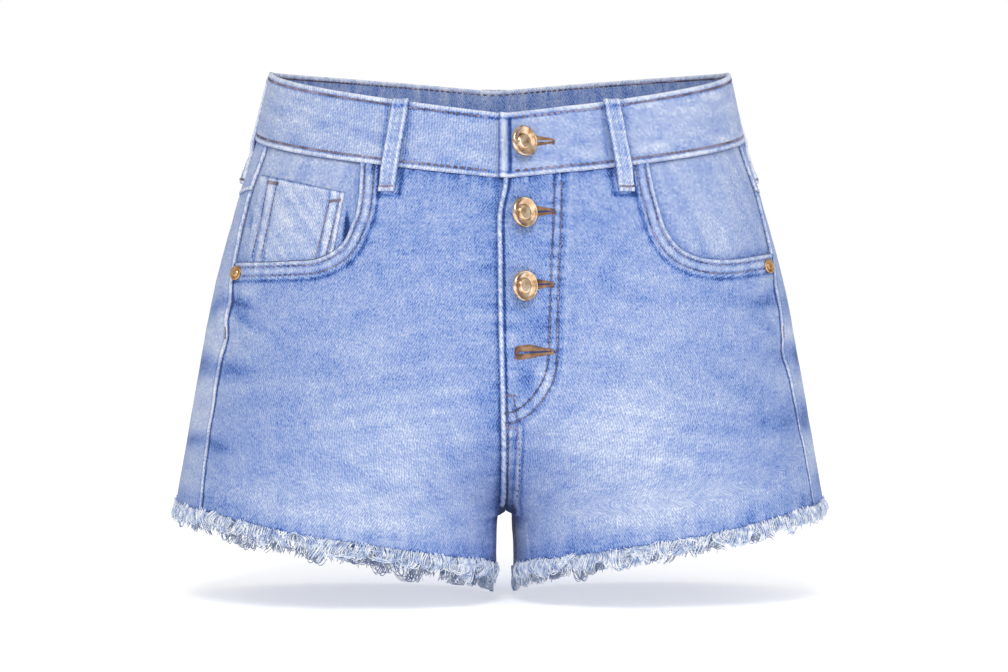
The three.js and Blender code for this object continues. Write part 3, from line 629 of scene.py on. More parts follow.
def fly_folds(across, z, lift, wash_and_shade):
    """The rolled free edge of the fly, its curved double seam, and the seams under it down to the inseam. The
    roll and the ridges between the rows are paler with wear; the dark lines beside the roll and along the
    stitched grooves are painted shade.
    """
    from_edge = across + table_at(FLY_EDGE, "z", "reach", z)
    upper = ease(CROTCH_Z, LAP_END_Z, z)
    twist = ripple(z + 0.9 * from_edge, 4.2, 61)
    roll = (0.55 + 0.4 * twist) * ridge(from_edge, 1.7, 1.5) - 0.5 * ridge(from_edge, 4.1, 0.8)
    lift = lift + upper * roll
    lift = lift - upper * 0.7 * ridge(from_edge, 0, 0.6)
    wash_and_shade = wash_and_shade + upper * (0.4 * ridge(from_edge, 1.8, 1.1) + 0.3 * twist * ridge(from_edge, 1.8, 1.4))
    wash_and_shade = wash_and_shade - upper * (0.75 * ridge(from_edge, 4.0, 0.7) + 0.5 * ridge(from_edge, 0, 0.5))
    wash_and_shade = wash_and_shade + 0.12 * ripple(z, 13, 62) * ridge(from_edge, 8, 4) - 0.1 * spot(across, z, 18, -110, 13, 60)
    for line, seed in ((j_outer, 63), (j_inner, 65)):
        off, far, _, _ = near_line(line, across, z)
        seam = np.exp(-np.abs(off) / 3.5) * ripple(far, 6, seed)
        lift = lift - 0.4 * ridge(off, 0, 0.7) + 0.22 * seam
        wash_and_shade = wash_and_shade - 0.34 * ridge(off, 0, 0.8) + 0.2 * seam
        if line is j_outer:
            wash_and_shade = wash_and_shade - 0.12 * ridge(off, 2, 1.8) + 0.1 * ridge(off, 4.6, 2) + 0.06 * ridge(off, -2.4, 1.6)
    wash_and_shade = wash_and_shade + 0.3 * spot(across, z, 19, -157, 5, 8, -0.8) - 0.2 * spot(across, z, 9, -160, 6, 9)
    low = (1 - ease(-190, -180, z)) * ease(CROTCH_Z - 1, CROTCH_Z + 1, z)
    lift = lift - low * 0.3 * (ridge(across, 4.4, 0.7) + ridge(across, 7.8, 0.7))
    wash_and_shade = wash_and_shade + low * (0.22 * ridge(across, 6, 1.2) - 0.3 * (ridge(across, 4, 0.8) + ridge(across, 8, 0.9)))
    wash_and_shade = wash_and_shade + low * 0.1 * ripple(z, 5, 67) * np.exp(-across / 8)
    inseam = ridge(across, 8.8 - 0.11 * (z - CROTCH_Z), 0.7) * (1 - ease(CROTCH_Z - 4, CROTCH_Z - 2, z))
    return lift, wash_and_shade + 0.3 * inseam * (0.7 + 0.3 * ripple(z, 4, 68))


def front_cloth(side):
    def shape_it(s, t):
        # Columns lie closer at the fly and the side seam.
        share = np.interp(s, (0, 0.26, 0.94, 1), (0, 0.153, 0.966, 1))
        top_turn = mix(QUARTER, side_seam_turn(-22, side), share)
        hem_turn = mix(math.pi, side_seam_turn(-240, side), share)
        z = row_height(share, t, band_edge(top_turn, "bottom") - 0.2, hem_at(hem_turn), 40)
        centre_z = row_height(0 * s, t, band_edge(QUARTER, "bottom") - 0.2, hem_at(math.pi), 0)
        reach = table_at(FLY_EDGE, "z", "reach", centre_z) * ease(CROTCH_Z + 1, LAP_END_Z, centre_z)
        lapped = (reach > 0) & (side == LEFT)
        edge = np.where(lapped, turn_across(-reach, centre_z), centre_turn(centre_z))
        turn = mix(edge - seam_shift(z), side_seam_turn(z, side) + seam_shift(z), share)
        across = across_at(turn, z)
        across = np.where(turn > centre_turn(z), -across_at(2 * centre_turn(z) - turn, z), across)

        to_mouth, along_mouth, near_x, near_z = near_line(mouth_lines[side], across, z)
        gone = (to_mouth > 0) & (turn < QUARTER)
        turn = np.where(gone, turn_across(near_x, near_z), turn)
        z = np.where(gone, near_z, z)
        out = np.where(gone, 0, -to_mouth)

        # The lip of the pocket mouth. Its rolled edges are paler with wear; its two stitched grooves hold
        # painted shade, and the cloth just under its outer edge a painted shadow
        lift = 0 * z
        wash_and_shade = wash(across, z, side)
        on_lip = 1 - ease(LIP_WIDTH - 0.4, LIP_WIDTH + 0.5, out)
        rope = ripple(along_mouth, 5.5, 3 + side)
        lift = lift + on_lip * (LIP_RISE - 0.1) + (0.45 + 0.12 * rope) * ridge(out, 1.3, 1.5)
        lift = lift - 0.5 * ridge(out, 0, 0.5) - 0.28 * ridge(out, 2.9, 0.6)
        lift = lift + 0.22 * (1 + 0.6 * rope) * ridge(out, 5.2, 1.6) - 0.25 * ridge(out, 7.6, 0.6)
        wash_and_shade = wash_and_shade + (0.42 + 0.14 * rope) * ridge(out, 1.1, 1.1)
        wash_and_shade = wash_and_shade - 0.36 * ridge(out, 2.7, 0.8) + 0.2 * ridge(out, 5.2, 1.8)
        wash_and_shade = wash_and_shade - 0.3 * ridge(out, 7.8, 0.8) + 0.22 * ridge(out, LIP_WIDTH, 0.7)
        wash_and_shade = wash_and_shade - 0.42 * ridge(out, LIP_WIDTH + 1.5, 1.2)
        wash_and_shade = wash_and_shade + on_lip * 0.08 * ripple(along_mouth, 8, 11 + side)
        pucker = np.exp(-np.clip(out - LIP_WIDTH, 0, 99) / 5) * (out > LIP_WIDTH)
        waves = ripple(along_mouth, 9, 21 + side)
        lift = lift + 0.22 * pucker * waves
        wash_and_shade = wash_and_shade + 0.12 * pucker * waves

        # The gathers under the waistband, and the painted shadows that the band's edge and the belt loops
        # cast on the cloth below
        wash_and_shade = wash_and_shade - 0.4 * loop_shadow(turn, z)
        below_band = band_edge(turn, "bottom") - z
        gather = np.exp(-below_band / 7)
        waves = ripple(across, 8, 31 + side)
        lift = lift + 0.25 * gather * waves
        wash_and_shade = wash_and_shade - 0.24 * np.exp(-below_band / 4) + 0.14 * gather * waves

        # The side seam
        arc = seam_arc(side, turn, z)
        lift = lift - SEAM_ROLL * 0.6 * ridge(arc, 0, 1.5)
        lift = lift + 0.2 * ridge(arc, 3, 1.8) * (1 + ripple(z, 10, 41))
        puckers = 0.7 + 0.5 * ripple(z, 6, 42 + side)
        wash_and_shade = wash_and_shade + 0.12 * puckers * ridge(arc, 7, 1.8) - 0.9 * ridge(arc, 1.6, 3.2)
        wash_and_shade = wash_and_shade + seam_wash(side, arc, z)
        wash_and_shade = wash_and_shade + 0.1 * np.exp(-arc / 7) * ripple(z, 11, 43 + side)

        # The flared edge above the fringe, with a painted shadow line along the cut edge
        above_hem = z - hem_at(turn)
        lift = lift + 0.7 * np.exp(-above_hem / 4)
        lift = lift + 0.35 * np.exp(-above_hem / 9) * ripple(across, 17, 51 + side)
        wash_and_shade = wash_and_shade - 0.12 * ridge(above_hem, 5, 5) - 0.35 * np.exp(-above_hem / 1.4)
        wash_and_shade = wash_and_shade + 0.1 * np.exp(-above_hem / 14) * ripple(across, 13, 53 + side)
        z = z + 0.7 * np.exp(-above_hem / 2) * ripple(across, 3, 55 + side)

        if side == LEFT:
            lift = lift + lap_rise(across, z)
            lift, wash_and_shade = fly_folds(across, z, lift, wash_and_shade)
        else:
            # Painted shadow of the lap's rolled edge on the right front beside the fly.
            wash_and_shade = wash_and_shade - 0.26 * ridge(across, 5.5, 2.2) - 0.06 * ridge(across, 10, 6)
            wash_and_shade = wash_and_shade + 0.1 * ripple(z, 9, 69) * np.exp(-np.abs(across - 9) / 5)
        # Painted shade in the notch where the legs part.
        wash_and_shade = wash_and_shade - 0.5 * spot(across, z, 3, -241, 3, 4)
        rims = crease_at(side, turn, z + 7) + crease_at(side, turn, z - 8)
        wash_and_shade = wash_and_shade + 0.075 * rims - 0.1 * crease_at(side, turn, z)
        # A painted dark slit along each lower buttonhole, for the shade in its opening.
        for level in HOLE_LEVELS[1:]:
            wash_and_shade = wash_and_shade - 0.9 * (side == LEFT) * spot(across, z, 17, level + 0.4, 8, 1.2)
        weave = weave_at(across, z, 71 + side)
        return side, turn, z, lift + weave, wash_and_shade + 0.35 * weave, gone

    return shape_it


fronts = {}
for side, word in SIDES:
    cloth = cloth_piece(f"front_{word}", *FRONT_GRID, front_cloth(side), side + 2)
    fronts[side] = dress(cloth, "denim", f"front_{word}")


# Pocket facings and the coin pocket
# Behind each mouth lies a facing of the same denim, and on the wearer's right one the small coin pocket is
# stitched, with a turned top edge and two rows down each side.

FACING_GRID = (84, 70)
FACING_DEPTH = 1.6
FACING_FROM = 71
FACING_TO_Z = -108
COIN_GRID = (70, 80)
COIN_ROWS = (4.6, 10.1, 2.8, 8.3)  # how far its two outer and two inner rows lie from its sides
COIN_CORNERS = ((143, -41.3), (93.5, -51.8), (102, -98), (152.5, -98))
COIN_WIDTH = 50  # seen from the front
COIN_HEIGHT = 48


def facing_cloth(side):
    def shape_it(s, t):
        top_turn = mix(turn_across(FACING_FROM, -38), side_seam_turn(-22, side), s)
        z = mix(band_edge(top_turn, "bottom") - 0.2, FACING_TO_Z, t)
        turn = mix(turn_across(FACING_FROM + 0 * z, z), side_seam_turn(z, side) + seam_shift(z), s)
        across = across_at(turn, z)
        arc = seam_arc(side, turn, z)
        lift = -FACING_DEPTH + 0.35 * ripple(across, 19, 81 + side) * ridge(z, -70, 26)
        wash_and_shade = (0.62 if side == RIGHT else 0.56) + 0.1 * spot(across, z, 124, -72, 16, 24)
        wash_and_shade = wash_and_shade + 0.07 * ripple(across + 0.5 * z, 15, 83 + side)
        wash_and_shade = wash_and_shade + 0.12 * np.exp(-(band_edge(turn, "bottom") - z) / 8) - 0.2 * np.exp(-arc / 3)
        if side == RIGHT:
            # Painted shade in the fold's groove and inside the slit.
            fold = ridge(across - 0.1 * z, 156, 1.6) * ridge(z, -80, 14)
            slit = spot(across, z, 93, -72.5, 1.2, 7, -2.2)
            lift, wash_and_shade = lift - 0.8 * fold - 1.5 * slit, wash_and_shade - 0.7 * fold - 1.8 * slit
        # Painted shadow of the lip on the facing just inside the mouth.
        out, _, _, _ = near_line(mouth_lines[side], across, z)
        wash_and_shade = wash_and_shade - 0.3 * np.exp(-np.clip(out, 0, 99) / 3)
        return side, turn, z, lift, wash_and_shade, False

    return shape_it


def coin_cloth(s, t):
    (ax, az), (bx, bz), (cx, cz), (dx, dz) = COIN_CORNERS
    across = mix(mix(ax, bx, s), mix(dx, cx, s), t)
    z = mix(mix(az, bz, s), mix(dz, cz, s), t)
    to_mouth, _, near_x, near_z = near_line(mouth_lines[RIGHT] + 0.4, across, z)
    gone = to_mouth < 0
    across, z = np.where(gone, near_x, across), np.where(gone, near_z, z)
    down, left, right = t * COIN_HEIGHT, s * COIN_WIDTH, (1 - s) * COIN_WIDTH
    edges = 0.6 * ridge(left, 7.4, 1.5) + ridge(right, 1, 1.1) + 0.8 * ridge(right, 5.6, 1.4)
    rows = sum(ridge(aside, at, 0.8) for aside, at in zip((left, left, right, right), COIN_ROWS))
    rope = ripple(down + left, 6, 91)
    lift = -0.45 + 0.35 * edges * (1 + 0.4 * rope) - 0.35 * rows
    lift = lift - 0.5 * ridge(right, 0, 0.5) - 0.4 * ridge(down, 0, 0.5)
    lift = lift + 0.35 * ripple(left, 16, 93) * ridge(down, 24, 16)
    # The turned edges are paler with wear; painted shade lies along the stitched grooves, at the top edge and
    # towards the foot under the mouth's lip.
    wash_and_shade = 0.7 + 0.2 * edges - 0.3 * rows - 0.5 * ridge(down, 0, 0.6) + 0.12 * ridge(down, 1.6, 1)
    wash_and_shade = wash_and_shade + 0.03 * spot(left, down, 26, 22, 12, 14) + 0.09 * ripple(left - down, 12, 95)
    wash_and_shade = wash_and_shade - 0.3 * np.exp(-(COIN_HEIGHT - down) / 6)
    return RIGHT, turn_across(across, z), z, lift, wash_and_shade, gone


for side, word in SIDES:
    cloth = cloth_piece(f"pocket_facing_{word}", *FACING_GRID, facing_cloth(side), side + 5)
    dress(cloth, "denim", f"pocket_facing_{word}")
coin_pocket = dress(cloth_piece("coin_pocket", *COIN_GRID, coin_cloth, 8, 0.8), "denim", "coin_pocket")


# The fly's underlay
# A plain strip under the lap, which carries the buttons.


def shield_cloth(s, t):
    z = mix(band_edge(turn_across(FLY_WIDTH * s, -44 + 0 * s), "bottom") - 0.4, FLY_CURVE[1], t)
    across = mix(SEAM_GAP, np.maximum(6, lap_width(z) - 6), s)
    return LEFT, turn_across(across, z), z, -0.6 + 0 * z, 0.42 + 0 * z, False


fly_shield = dress(cloth_piece("fly_shield", 12, 50, shield_cloth, 12), "denim", "fly_shield")


# Backs, yokes and back pockets
# Two back panels hang from two yokes, joined down the centre back, with a plain patch pocket on each.

BACK_GRID = (130, 110)
YOKE_GRID = (130, 34)
BACK_COLUMNS = ((0, 0.1, 0.87, 1), (0, 0.055, 0.957, 1))  # they lie closer at both seams
POCKET_GRID = (74, 80)
YOKE_SIDE_Z = -50
YOKE_CENTRE_Z = -88
BACK_POCKET = ((27, -103), (137, -96), (139, -192), (88, -214), (36, -200))
POCKET_WIDTH = 106
POCKET_HEIGHT = 100


def yoke_seam(turn):
    return mix(YOKE_SIDE_Z, YOKE_CENTRE_Z, ease(-0.25, 1, -turn / QUARTER))


def back_seams(side, turn, z, lift, wash_and_shade):
    """The centre back seam, where the left back laps the right one, and the side seam."""
    across = across_at(turn, z)
    arc = -seam_arc(side, turn, z)
    lift = lift - SEAM_ROLL * 0.6 * ridge(arc, 0, 1.5) + 0.15 * ridge(arc, 3, 2)
    rope = ripple(z, 6, 101 + side)
    wash_and_shade = wash_and_shade + (0.3 + 0.16 * rope) * ridge(arc, 2, 1.3) - 0.2 * ridge(arc, 5, 1.4)
    # Paler in a broad band towards the side seam, more on the wearer's right: painted light, making up for
    # the shade where the back turns away from the lamps.
    wash_and_shade = wash_and_shade + seam_wash(side, -arc, z) + (0.13 if side == RIGHT else 0.04) * np.exp(-arc / 90)
    if side == LEFT:
        lift = lift + 0.5 * (1 - ease(8.5, 10, across)) - 0.4 * ridge(across, 0, 0.6)
        lift = lift - 0.25 * ridge(across, 2.4, 0.7) + 0.15 * rope * ridge(across, 5, 3)
        wash_and_shade = wash_and_shade + 0.22 * ridge(across, 1.2, 1.2) + 0.16 * ridge(across, 8.8, 1)
        # Painted shadow of the lapped edge on the cloth beside it.
        wash_and_shade = wash_and_shade - 0.15 * ridge(across, 11, 1.5)
    else:
        # Painted shadow of the left back's lap over the centre seam.
        wash_and_shade = wash_and_shade - 0.25 * ridge(across, 0, 2)
    wash_and_shade = wash_and_shade + 0.1 * rope * np.exp(-across / 8)
    return lift, wash_and_shade


def back_cloth(side):
    def shape_it(s, t):
        s = np.interp(s, *BACK_COLUMNS)
        top_turn = mix(-QUARTER, side_seam_turn(-60, side), s)
        hem_turn = mix(-math.pi, side_seam_turn(-240, side), s)
        z = row_height(s, t, yoke_seam(top_turn) - SEAM_GAP, hem_at(hem_turn), 38)
        centre_z = row_height(0 * s, t, yoke_seam(-QUARTER) - SEAM_GAP, hem_at(-math.pi), 0)
        turn = mix(-centre_turn(centre_z) + seam_shift(z), side_seam_turn(z, side) - seam_shift(z), s)
        across = across_at(turn, z)
        wash_and_shade = 0.5 + 0.2 * spot(across, z, 84, -150, 50, 56) - 0.14 * spot(across, z, 6, -236, 30, 30)
        below_yoke = yoke_seam(turn) - z
        waves = ripple(across, 8, 111 + side)
        lift = 0.2 * np.exp(-below_yoke / 6) * waves - 0.3 * ridge(below_yoke, 0, 1)
        # Painted shadow under the yoke's edge.
        wash_and_shade = wash_and_shade - 0.26 * np.exp(-below_yoke / 3) + 0.12 * np.exp(-below_yoke / 8) * waves
        # The flared edge above the fringe, with a painted shadow line along the cut edge.
        above_hem = z - hem_at(turn)
        lift = lift + 0.7 * np.exp(-above_hem / 4)
        lift = lift + 0.35 * np.exp(-above_hem / 9) * ripple(across, 17, 113 + side)
        wash_and_shade = wash_and_shade - 0.12 * ridge(above_hem, 5, 5) - 0.35 * np.exp(-above_hem / 1.4)
        z = z + 0.7 * np.exp(-above_hem / 2) * ripple(across, 3, 115 + side)
        wash_and_shade = wash_and_shade + 0.06 * (crease_at(side, turn, z + 8) + crease_at(side, turn, z - 8))
        wash_and_shade = wash_and_shade - 0.08 * crease_at(side, turn, z)
        weave = weave_at(across, z, 117 + side)
        lift, wash_and_shade = back_seams(side, turn, z, lift + weave, wash_and_shade + 0.35 * weave)
        return side, turn, z, lift, wash_and_shade, False

    return shape_it


def yoke_cloth(side):
    def shape_it(s, t):
        s = np.interp(s, *BACK_COLUMNS)
        top = mix(-QUARTER + seam_shift(-25), side_seam_turn(-25, side), s)
        low = mix(-QUARTER, side_seam_turn(-60, side), s)
        z = mix(band_edge(top, "bottom") - 0.2, yoke_seam(low), t)
        turn = mix(-QUARTER + seam_shift(z), side_seam_turn(z, side) - seam_shift(z), s)
        across = across_at(turn, z)
        above = z - yoke_seam(turn)
        rope = ripple(across, 6, 121 + side)
        lift = 0.35 * (1 - ease(8, 10, above)) + (0.35 + 0.15 * rope) * ridge(above, 1.3, 1.4)
        lift = lift - 0.5 * ridge(above, 0, 0.6) - 0.3 * ridge(above, 2.8, 0.6)
        lift = lift - 0.25 * ridge(above, 7.4, 0.6)
        # Paler along the rolled seam with wear; painted shade in its stitched groove.
        wash_and_shade = 0.54 + 0.26 * ridge(above, 1.2, 1.3) - 0.12 * ridge(above, 2.8, 0.7)
        wash_and_shade = wash_and_shade + 0.1 * rope * ridge(above, 4, 4)
        # Painted shadow of the waistband's edge on the yoke below it.
        below_band = band_edge(turn, "bottom") - z
        wash_and_shade = wash_and_shade - 0.22 * np.exp(-below_band / 4) + 0.12 * np.exp(-below_band / 7) * ripple(across, 8, 123)
        lift, wash_and_shade = back_seams(side, turn, z, lift, wash_and_shade)
        return side, turn, z, lift, wash_and_shade, False

    return shape_it


def pocket_edge(s, t):
    """A place on a back pocket: s runs from its inner to its outer side, t from its top to its foot."""
    (ax, az), (bx, bz), (cx, cz), (dx, dz), (ex, ez) = BACK_POCKET
    fold = (dx - ex) / (cx - ex)
    foot_x = mix(ex, cx, s)
    foot_z = np.where(s < fold, mix(ez, dz, s / fold), mix(dz, cz, (s - fold) / (1 - fold)))
    return mix(mix(ax, bx, s), foot_x, t), mix(mix(az, bz, s), foot_z, t)


def pocket_cloth(side):
    def shape_it(s, t):
        across, z = pocket_edge(s, t)
        rim = np.minimum(np.minimum(s, 1 - s) * POCKET_WIDTH, (1 - t) * POCKET_HEIGHT)
        top = t * POCKET_HEIGHT
        rope = ripple(z - across, 6, 131 + side)
        lift = LAP_LIFT - 0.9 * ridge(rim, 0, 0.7) + (0.2 + 0.12 * rope) * ridge(rim, 1.4, 1.2)
        lift = lift - 0.25 * ridge(rim, 2.9, 0.6)
        lift = lift + 0.5 * (1 - ease(13, 15, top)) + 0.2 * ridge(top, 1, 1.2)
        # Paler along the turned edges with wear; a little painted shade in the stitched grooves and under the
        # top hem's fold.
        wash_and_shade = 0.58 + 0.26 * ridge(rim, 1.2, 1.3) - 0.1 * ridge(rim, 2.9, 0.8)
        wash_and_shade = wash_and_shade + 0.08 * rope * ridge(rim, 4, 4)
        wash_and_shade = wash_and_shade + 0.2 * ridge(top, 1, 1.3) + 0.12 * ridge(top, 14, 1.5) - 0.1 * ridge(top, 16.5, 1.4)
        wash_and_shade = wash_and_shade + 0.14 * spot(across, z, 84, -140, 34, 34)
        wash_and_shade = wash_and_shade + 0.08 * ripple(across - 0.3 * z, 26, 133 + side) * ripple(z, 22, 135)
        return side, -turn_across(across, z), z, lift, wash_and_shade, False

    return shape_it


backs = {}
for side, word in SIDES:
    back = cloth_piece(f"back_{word}", *BACK_GRID, back_cloth(side), side + 21)
    dress(back, "denim", f"back_{word}")
    yoke = cloth_piece(f"yoke_{word}", *YOKE_GRID, yoke_cloth(side), side + 24)
    dress(yoke, "denim", f"yoke_{word}")
    pocket = cloth_piece(f"back_pocket_{word}", *POCKET_GRID, pocket_cloth(side), side + 27)
    dress(pocket, "denim", f"back_pocket_{word}")
    backs[side] = (back, yoke, pocket)


# The waistband
# One strip folded lengthwise, so it has a face, a rolled top and a lining. Its buttoned end runs on under the
# other one, which has the buttonhole.

BAND_GRID = (420, 56)
BAND_PROUD = 1.4
BAND_THICKNESS = 2.6
BAND_UNDER_REACH = 32
BAND_UNDER_SINK = -1.3
BAND_OVER_LIFT = 1.7
BAND_EDGE = 4.8
BAND_LEVEL = -20
BAND_FACE = 0.44  # the share of its width that is the face, and as much is the lining

band_start = float(turn_across(-BAND_UNDER_REACH, BAND_LEVEL))
band_end = float(turn_across(-BAND_EDGE, BAND_LEVEL))
band_total = band_start + band_end + 2 * QUARTER
band_span = table_at(BODY, "z", "front", BAND_LEVEL) * 1.25  # how far a radian goes round it, about


def band_place(gone):
    """Where a point lies that has gone so far round the waist, in turns, and how far its end bends."""
    right = gone <= band_start + QUARTER
    side = np.where(right, RIGHT, LEFT)
    turn = np.where(right, band_start - gone, gone - band_start - 2 * QUARTER)
    past = turn > centre_turn(BAND_LEVEL + 0 * turn)
    across = across_at(np.where(past, 2 * QUARTER - turn, turn), BAND_LEVEL)
    across = np.where(turn < 0, 999, np.where(past, -across, across))
    over = BAND_OVER_LIFT * (1 - ease(35, 49, across))
    under = BAND_UNDER_SINK * (1 - ease(2, 14, across))
    return side, turn, np.where(right, under, over)


def band_cloth(s, t):
    s = np.interp(s, (0, 0.92, 1), (0, 0.972, 1))  # columns lie closer at the end with the buttonhole
    side, turn, bend = band_place(s * band_total)
    radius = BAND_THICKNESS / 2
    face = np.clip(t / BAND_FACE, 0, 1)
    roll = np.clip((t - BAND_FACE) / 0.12, 0, 1)
    lining = np.clip((t - 0.56) / BAND_FACE, 0, 1)
    top, bottom = band_edge(turn, "top"), band_edge(turn, "bottom") - 0.5
    z = np.where(t < 0.5, mix(bottom, top - radius, face), mix(top - radius, bottom, lining))
    z = z + radius * np.sin(math.pi * roll)
    from_end = np.minimum(s, 1 - s) * band_total * band_span
    closed = np.sqrt(1 - np.clip(1 - from_end / 2, 0, 1) ** 2)
    lift = radius * np.cos(math.pi * roll) * (0.25 + 0.75 * closed)
    along = s * band_total * band_span
    across = across_at(turn, z)
    down, up = top - z, z - bottom
    rope, puckers = ripple(along, 6, 141), ripple(along, 9, 145)
    outside = t < 0.5
    lift = lift - 0.5 * np.sign(lift) * ridge(up, 0, 0.7)
    hollow = ridge(down, 3.6, 0.7) + ridge(up, 3.4, 0.7)
    lift = lift + np.where(outside, 1, -1) * (0.13 * rope * ridge(down, 1.5, 3) - 0.24 * hollow)
    lift = lift + np.where(outside, 0.28 * ripple(along + 0.3 * z, 26, 143) * ridge(down, 20, 12), 0)
    lift = lift + np.where(outside, 0, 0.3 * puckers * np.clip(down / 10, 0, 1))
    # Paler along the rolled top and bottom edges with wear; painted shade in the stitched hollows.
    edge_wear_and_shade = 0.34 * ridge(down, 0.6, 1.5) + 0.3 * ridge(up, 1.2, 1.1) - 0.5 * hollow
    edge_wear_and_shade = edge_wear_and_shade + 0.1 * rope * (ridge(down, 2, 3) + ridge(up, 2, 3))
    blotch = 0.06 + 0.15 * ripple(along, 52, 147) * ripple(down * 1.6 + 0.1 * along, 24, 149)
    blotch = blotch + 0.06 * ripple(down + 0.06 * along, 10, 148) * ease(60, 110, np.abs(across))
    blotch = blotch + 0.06 * ripple(along, 7, 146) * (ridge(down, 7, 3) + ridge(up, 7, 3))
    near_hole = s > 0.5
    at_end = near_hole * ease(2.5, 5, down) * ease(2, 4, up)
    end_fold = 0.5 * ridge(from_end, 1.7, 1.1) - 0.5 * ridge(from_end, 3.6, 0.6)
    lift = lift + near_hole * outside * end_fold
    # The buttonhole end is paler on its fold with wear, with painted shadow lines beside the fold and at its
    # edge; beside the belt loops lies their painted shadow.
    edge_wear_and_shade = edge_wear_and_shade + 0.3 * ridge(from_end, 1.8, 1.1) * near_hole - 0.3 * loop_shadow(turn, z)
    edge_wear_and_shade = edge_wear_and_shade - 0.8 * ridge(from_end, 3.7, 0.6) * at_end - 0.6 * ridge(from_end, 0, 0.6) * near_hole
    face_wash_and_shade = 0.53 + 0.05 * ease(30, 90, np.abs(across)) + edge_wear_and_shade + blotch
    fade_in = 0.49 + 0.45 * ridge(down, 0, 2.2) + 0.14 * puckers
    return side, turn, z, BAND_PROUD - radius + bend + lift, np.where(outside, face_wash_and_shade, fade_in), False


waistband = cloth_piece("waistband", *BAND_GRID, band_cloth, 31, 0.9, reverse=False, upright=False)
dress(waistband, "denim", "waistband")


# Belt loops
# Five folded strips, turned over the waistband's top and bar-tacked just under it, standing off the band
# between.

LOOP_GRID = (22, 80)
LOOP_WIDTH = 11
LOOP_THICKNESS = 1.7
LOOP_SIDE_BELOW = 27
LOOP_SLACK = 2.8
LOOPS = {  # side, and where the top and bottom ends lie round the waist, in degrees
    "front_right": (RIGHT, 66.7, 65.6),
    "side_right": (RIGHT, -10.5, 1.5),
    "centre_back": (LEFT, -90, -90),
    "side_left": (LEFT, -10.5, 1.5),
    "front_left": (LEFT, 66.7, 65.6),
}


def loop_end(word, bottom_turn):
    """How low a loop reaches: the side ones are sewn on lower."""
    return band_edge(bottom_turn, "bottom") - (LOOP_SIDE_BELOW if "side" in word else LOOP_BELOW)


def loop_span(word, z):
    """How far a radian goes round at a loop."""
    return table_at(BODY, "z", "front" if "side" in word else "half_width", z)


def loop_cloth(word, seed):
    side, *turns = LOOPS[word]
    top_turn, bottom_turn = np.radians(turns)
    at_side = "side" in word

    def shape_it(s, t):
        high = band_edge(top_turn, "top") + (-1.2 if at_side else 0.6)
        band_bottom = band_edge(bottom_turn, "bottom")
        low = loop_end(word, bottom_turn)
        z = mix(high, low, t)
        aside = (s - 0.5) * LOOP_WIDTH
        turn = mix(top_turn, bottom_turn, t**1.5) + aside / loop_span(word, z)
        over_band = BAND_PROUD * ease(band_bottom - 9, band_bottom - 2, z)
        slack = LOOP_SLACK * np.sin(math.pi * np.clip((high - 4 - z) / (high - low - 8), 0, 1)) ** 0.8
        if at_side:
            slack = slack * 0.1 + 2.6 * t**3 * (0.5 - s)
        rim = LOOP_WIDTH / 2 - np.abs(aside)
        end = np.minimum(high - z, z - low)
        rope = ripple(z, 6, seed)
        lift = LOOP_THICKNESS + 0.7 + over_band + slack - 1.2 * ridge(end, 0, 1.0) - 1.2 * ridge(rim, 0, 0.7)
        lift = lift + (0.6 + 0.2 * rope) * ridge(rim, 1.9, 1.2) - 0.5 * ridge(aside, 0, 1.8)
        # Paler on the folded edges with wear; a painted dark outline at the rims, and painted shade near the
        # top where the loop turns over the band.
        wash_and_shade = 0.66 + 0.22 * ridge(rim, 1.5, 1.0) - 0.1 * ridge(rim, 3.6, 0.8) - 0.5 * ridge(rim, 0, 0.7)
        wash_and_shade = wash_and_shade + 0.07 * rope
        wash_and_shade = wash_and_shade + 0.12 * ridge(end, 1, 2) - 0.3 * ridge(high - z, 4.5, 1.5)
        # The side loops are seen edge-on: their rim is painted lighter, making up for the shade on that edge.
        if at_side:
            lift, wash_and_shade = lift - 0.6, wash_and_shade + 0.5 * ridge(rim, 0, 1.4)
        return side, turn, z, lift, wash_and_shade, False

    return shape_it


loops = {}
for k, word in enumerate(LOOPS):
    shape = loop_cloth(word, 151 + k)
    loop = cloth_piece(f"belt_loop_{word}", *LOOP_GRID, shape, 41 + k, LOOP_THICKNESS, reverse=False)
    loops[word] = dress(loop, "denim", f"belt_loop_{word}")


# Topstitching
# Thick brown thread in rows near each turned edge, and bar tacks where an end must hold. One stitch is
# modelled and copied onto the cloth between two needle holes.

STITCH_LENGTH = 2.9
STITCH_PITCH = 3.0
STITCH_WIDTH = 1.15
STITCH_HEIGHT = 0.55
TACK_PITCH = 0.62
STITCH_SINK = 0.05

topstitch_thread, tree, shader = new_material("topstitch_thread", 0.75)
speckled(tree, shader, 90, ("#4A4250", "#6F6470", "#94889A"), (0.34, 0.5, 0.66))

bpy.ops.object.select_all(action="DESELECT")
bpy.ops.mesh.primitive_uv_sphere_add(segments=6, ring_count=4, radius=0.5, rotation=(0, math.pi / 2, 0))
bpy.ops.object.transform_apply(rotation=True)
one_stitch = bpy.context.active_object
stitch_points = np.array([v.co[:] for v in one_stitch.data.vertices])
stitch_faces = [tuple(f.vertices) for f in one_stitch.data.polygons]
bpy.data.objects.remove(one_stitch)


def outside_of(piece):
    """The piece's mesh, ready to find the outermost point of it on a line."""
    mesh = piece.data
    return BVHTree.FromPolygons([v.co[:] for v in mesh.vertices], [tuple(f.vertices) for f in mesh.polygons])


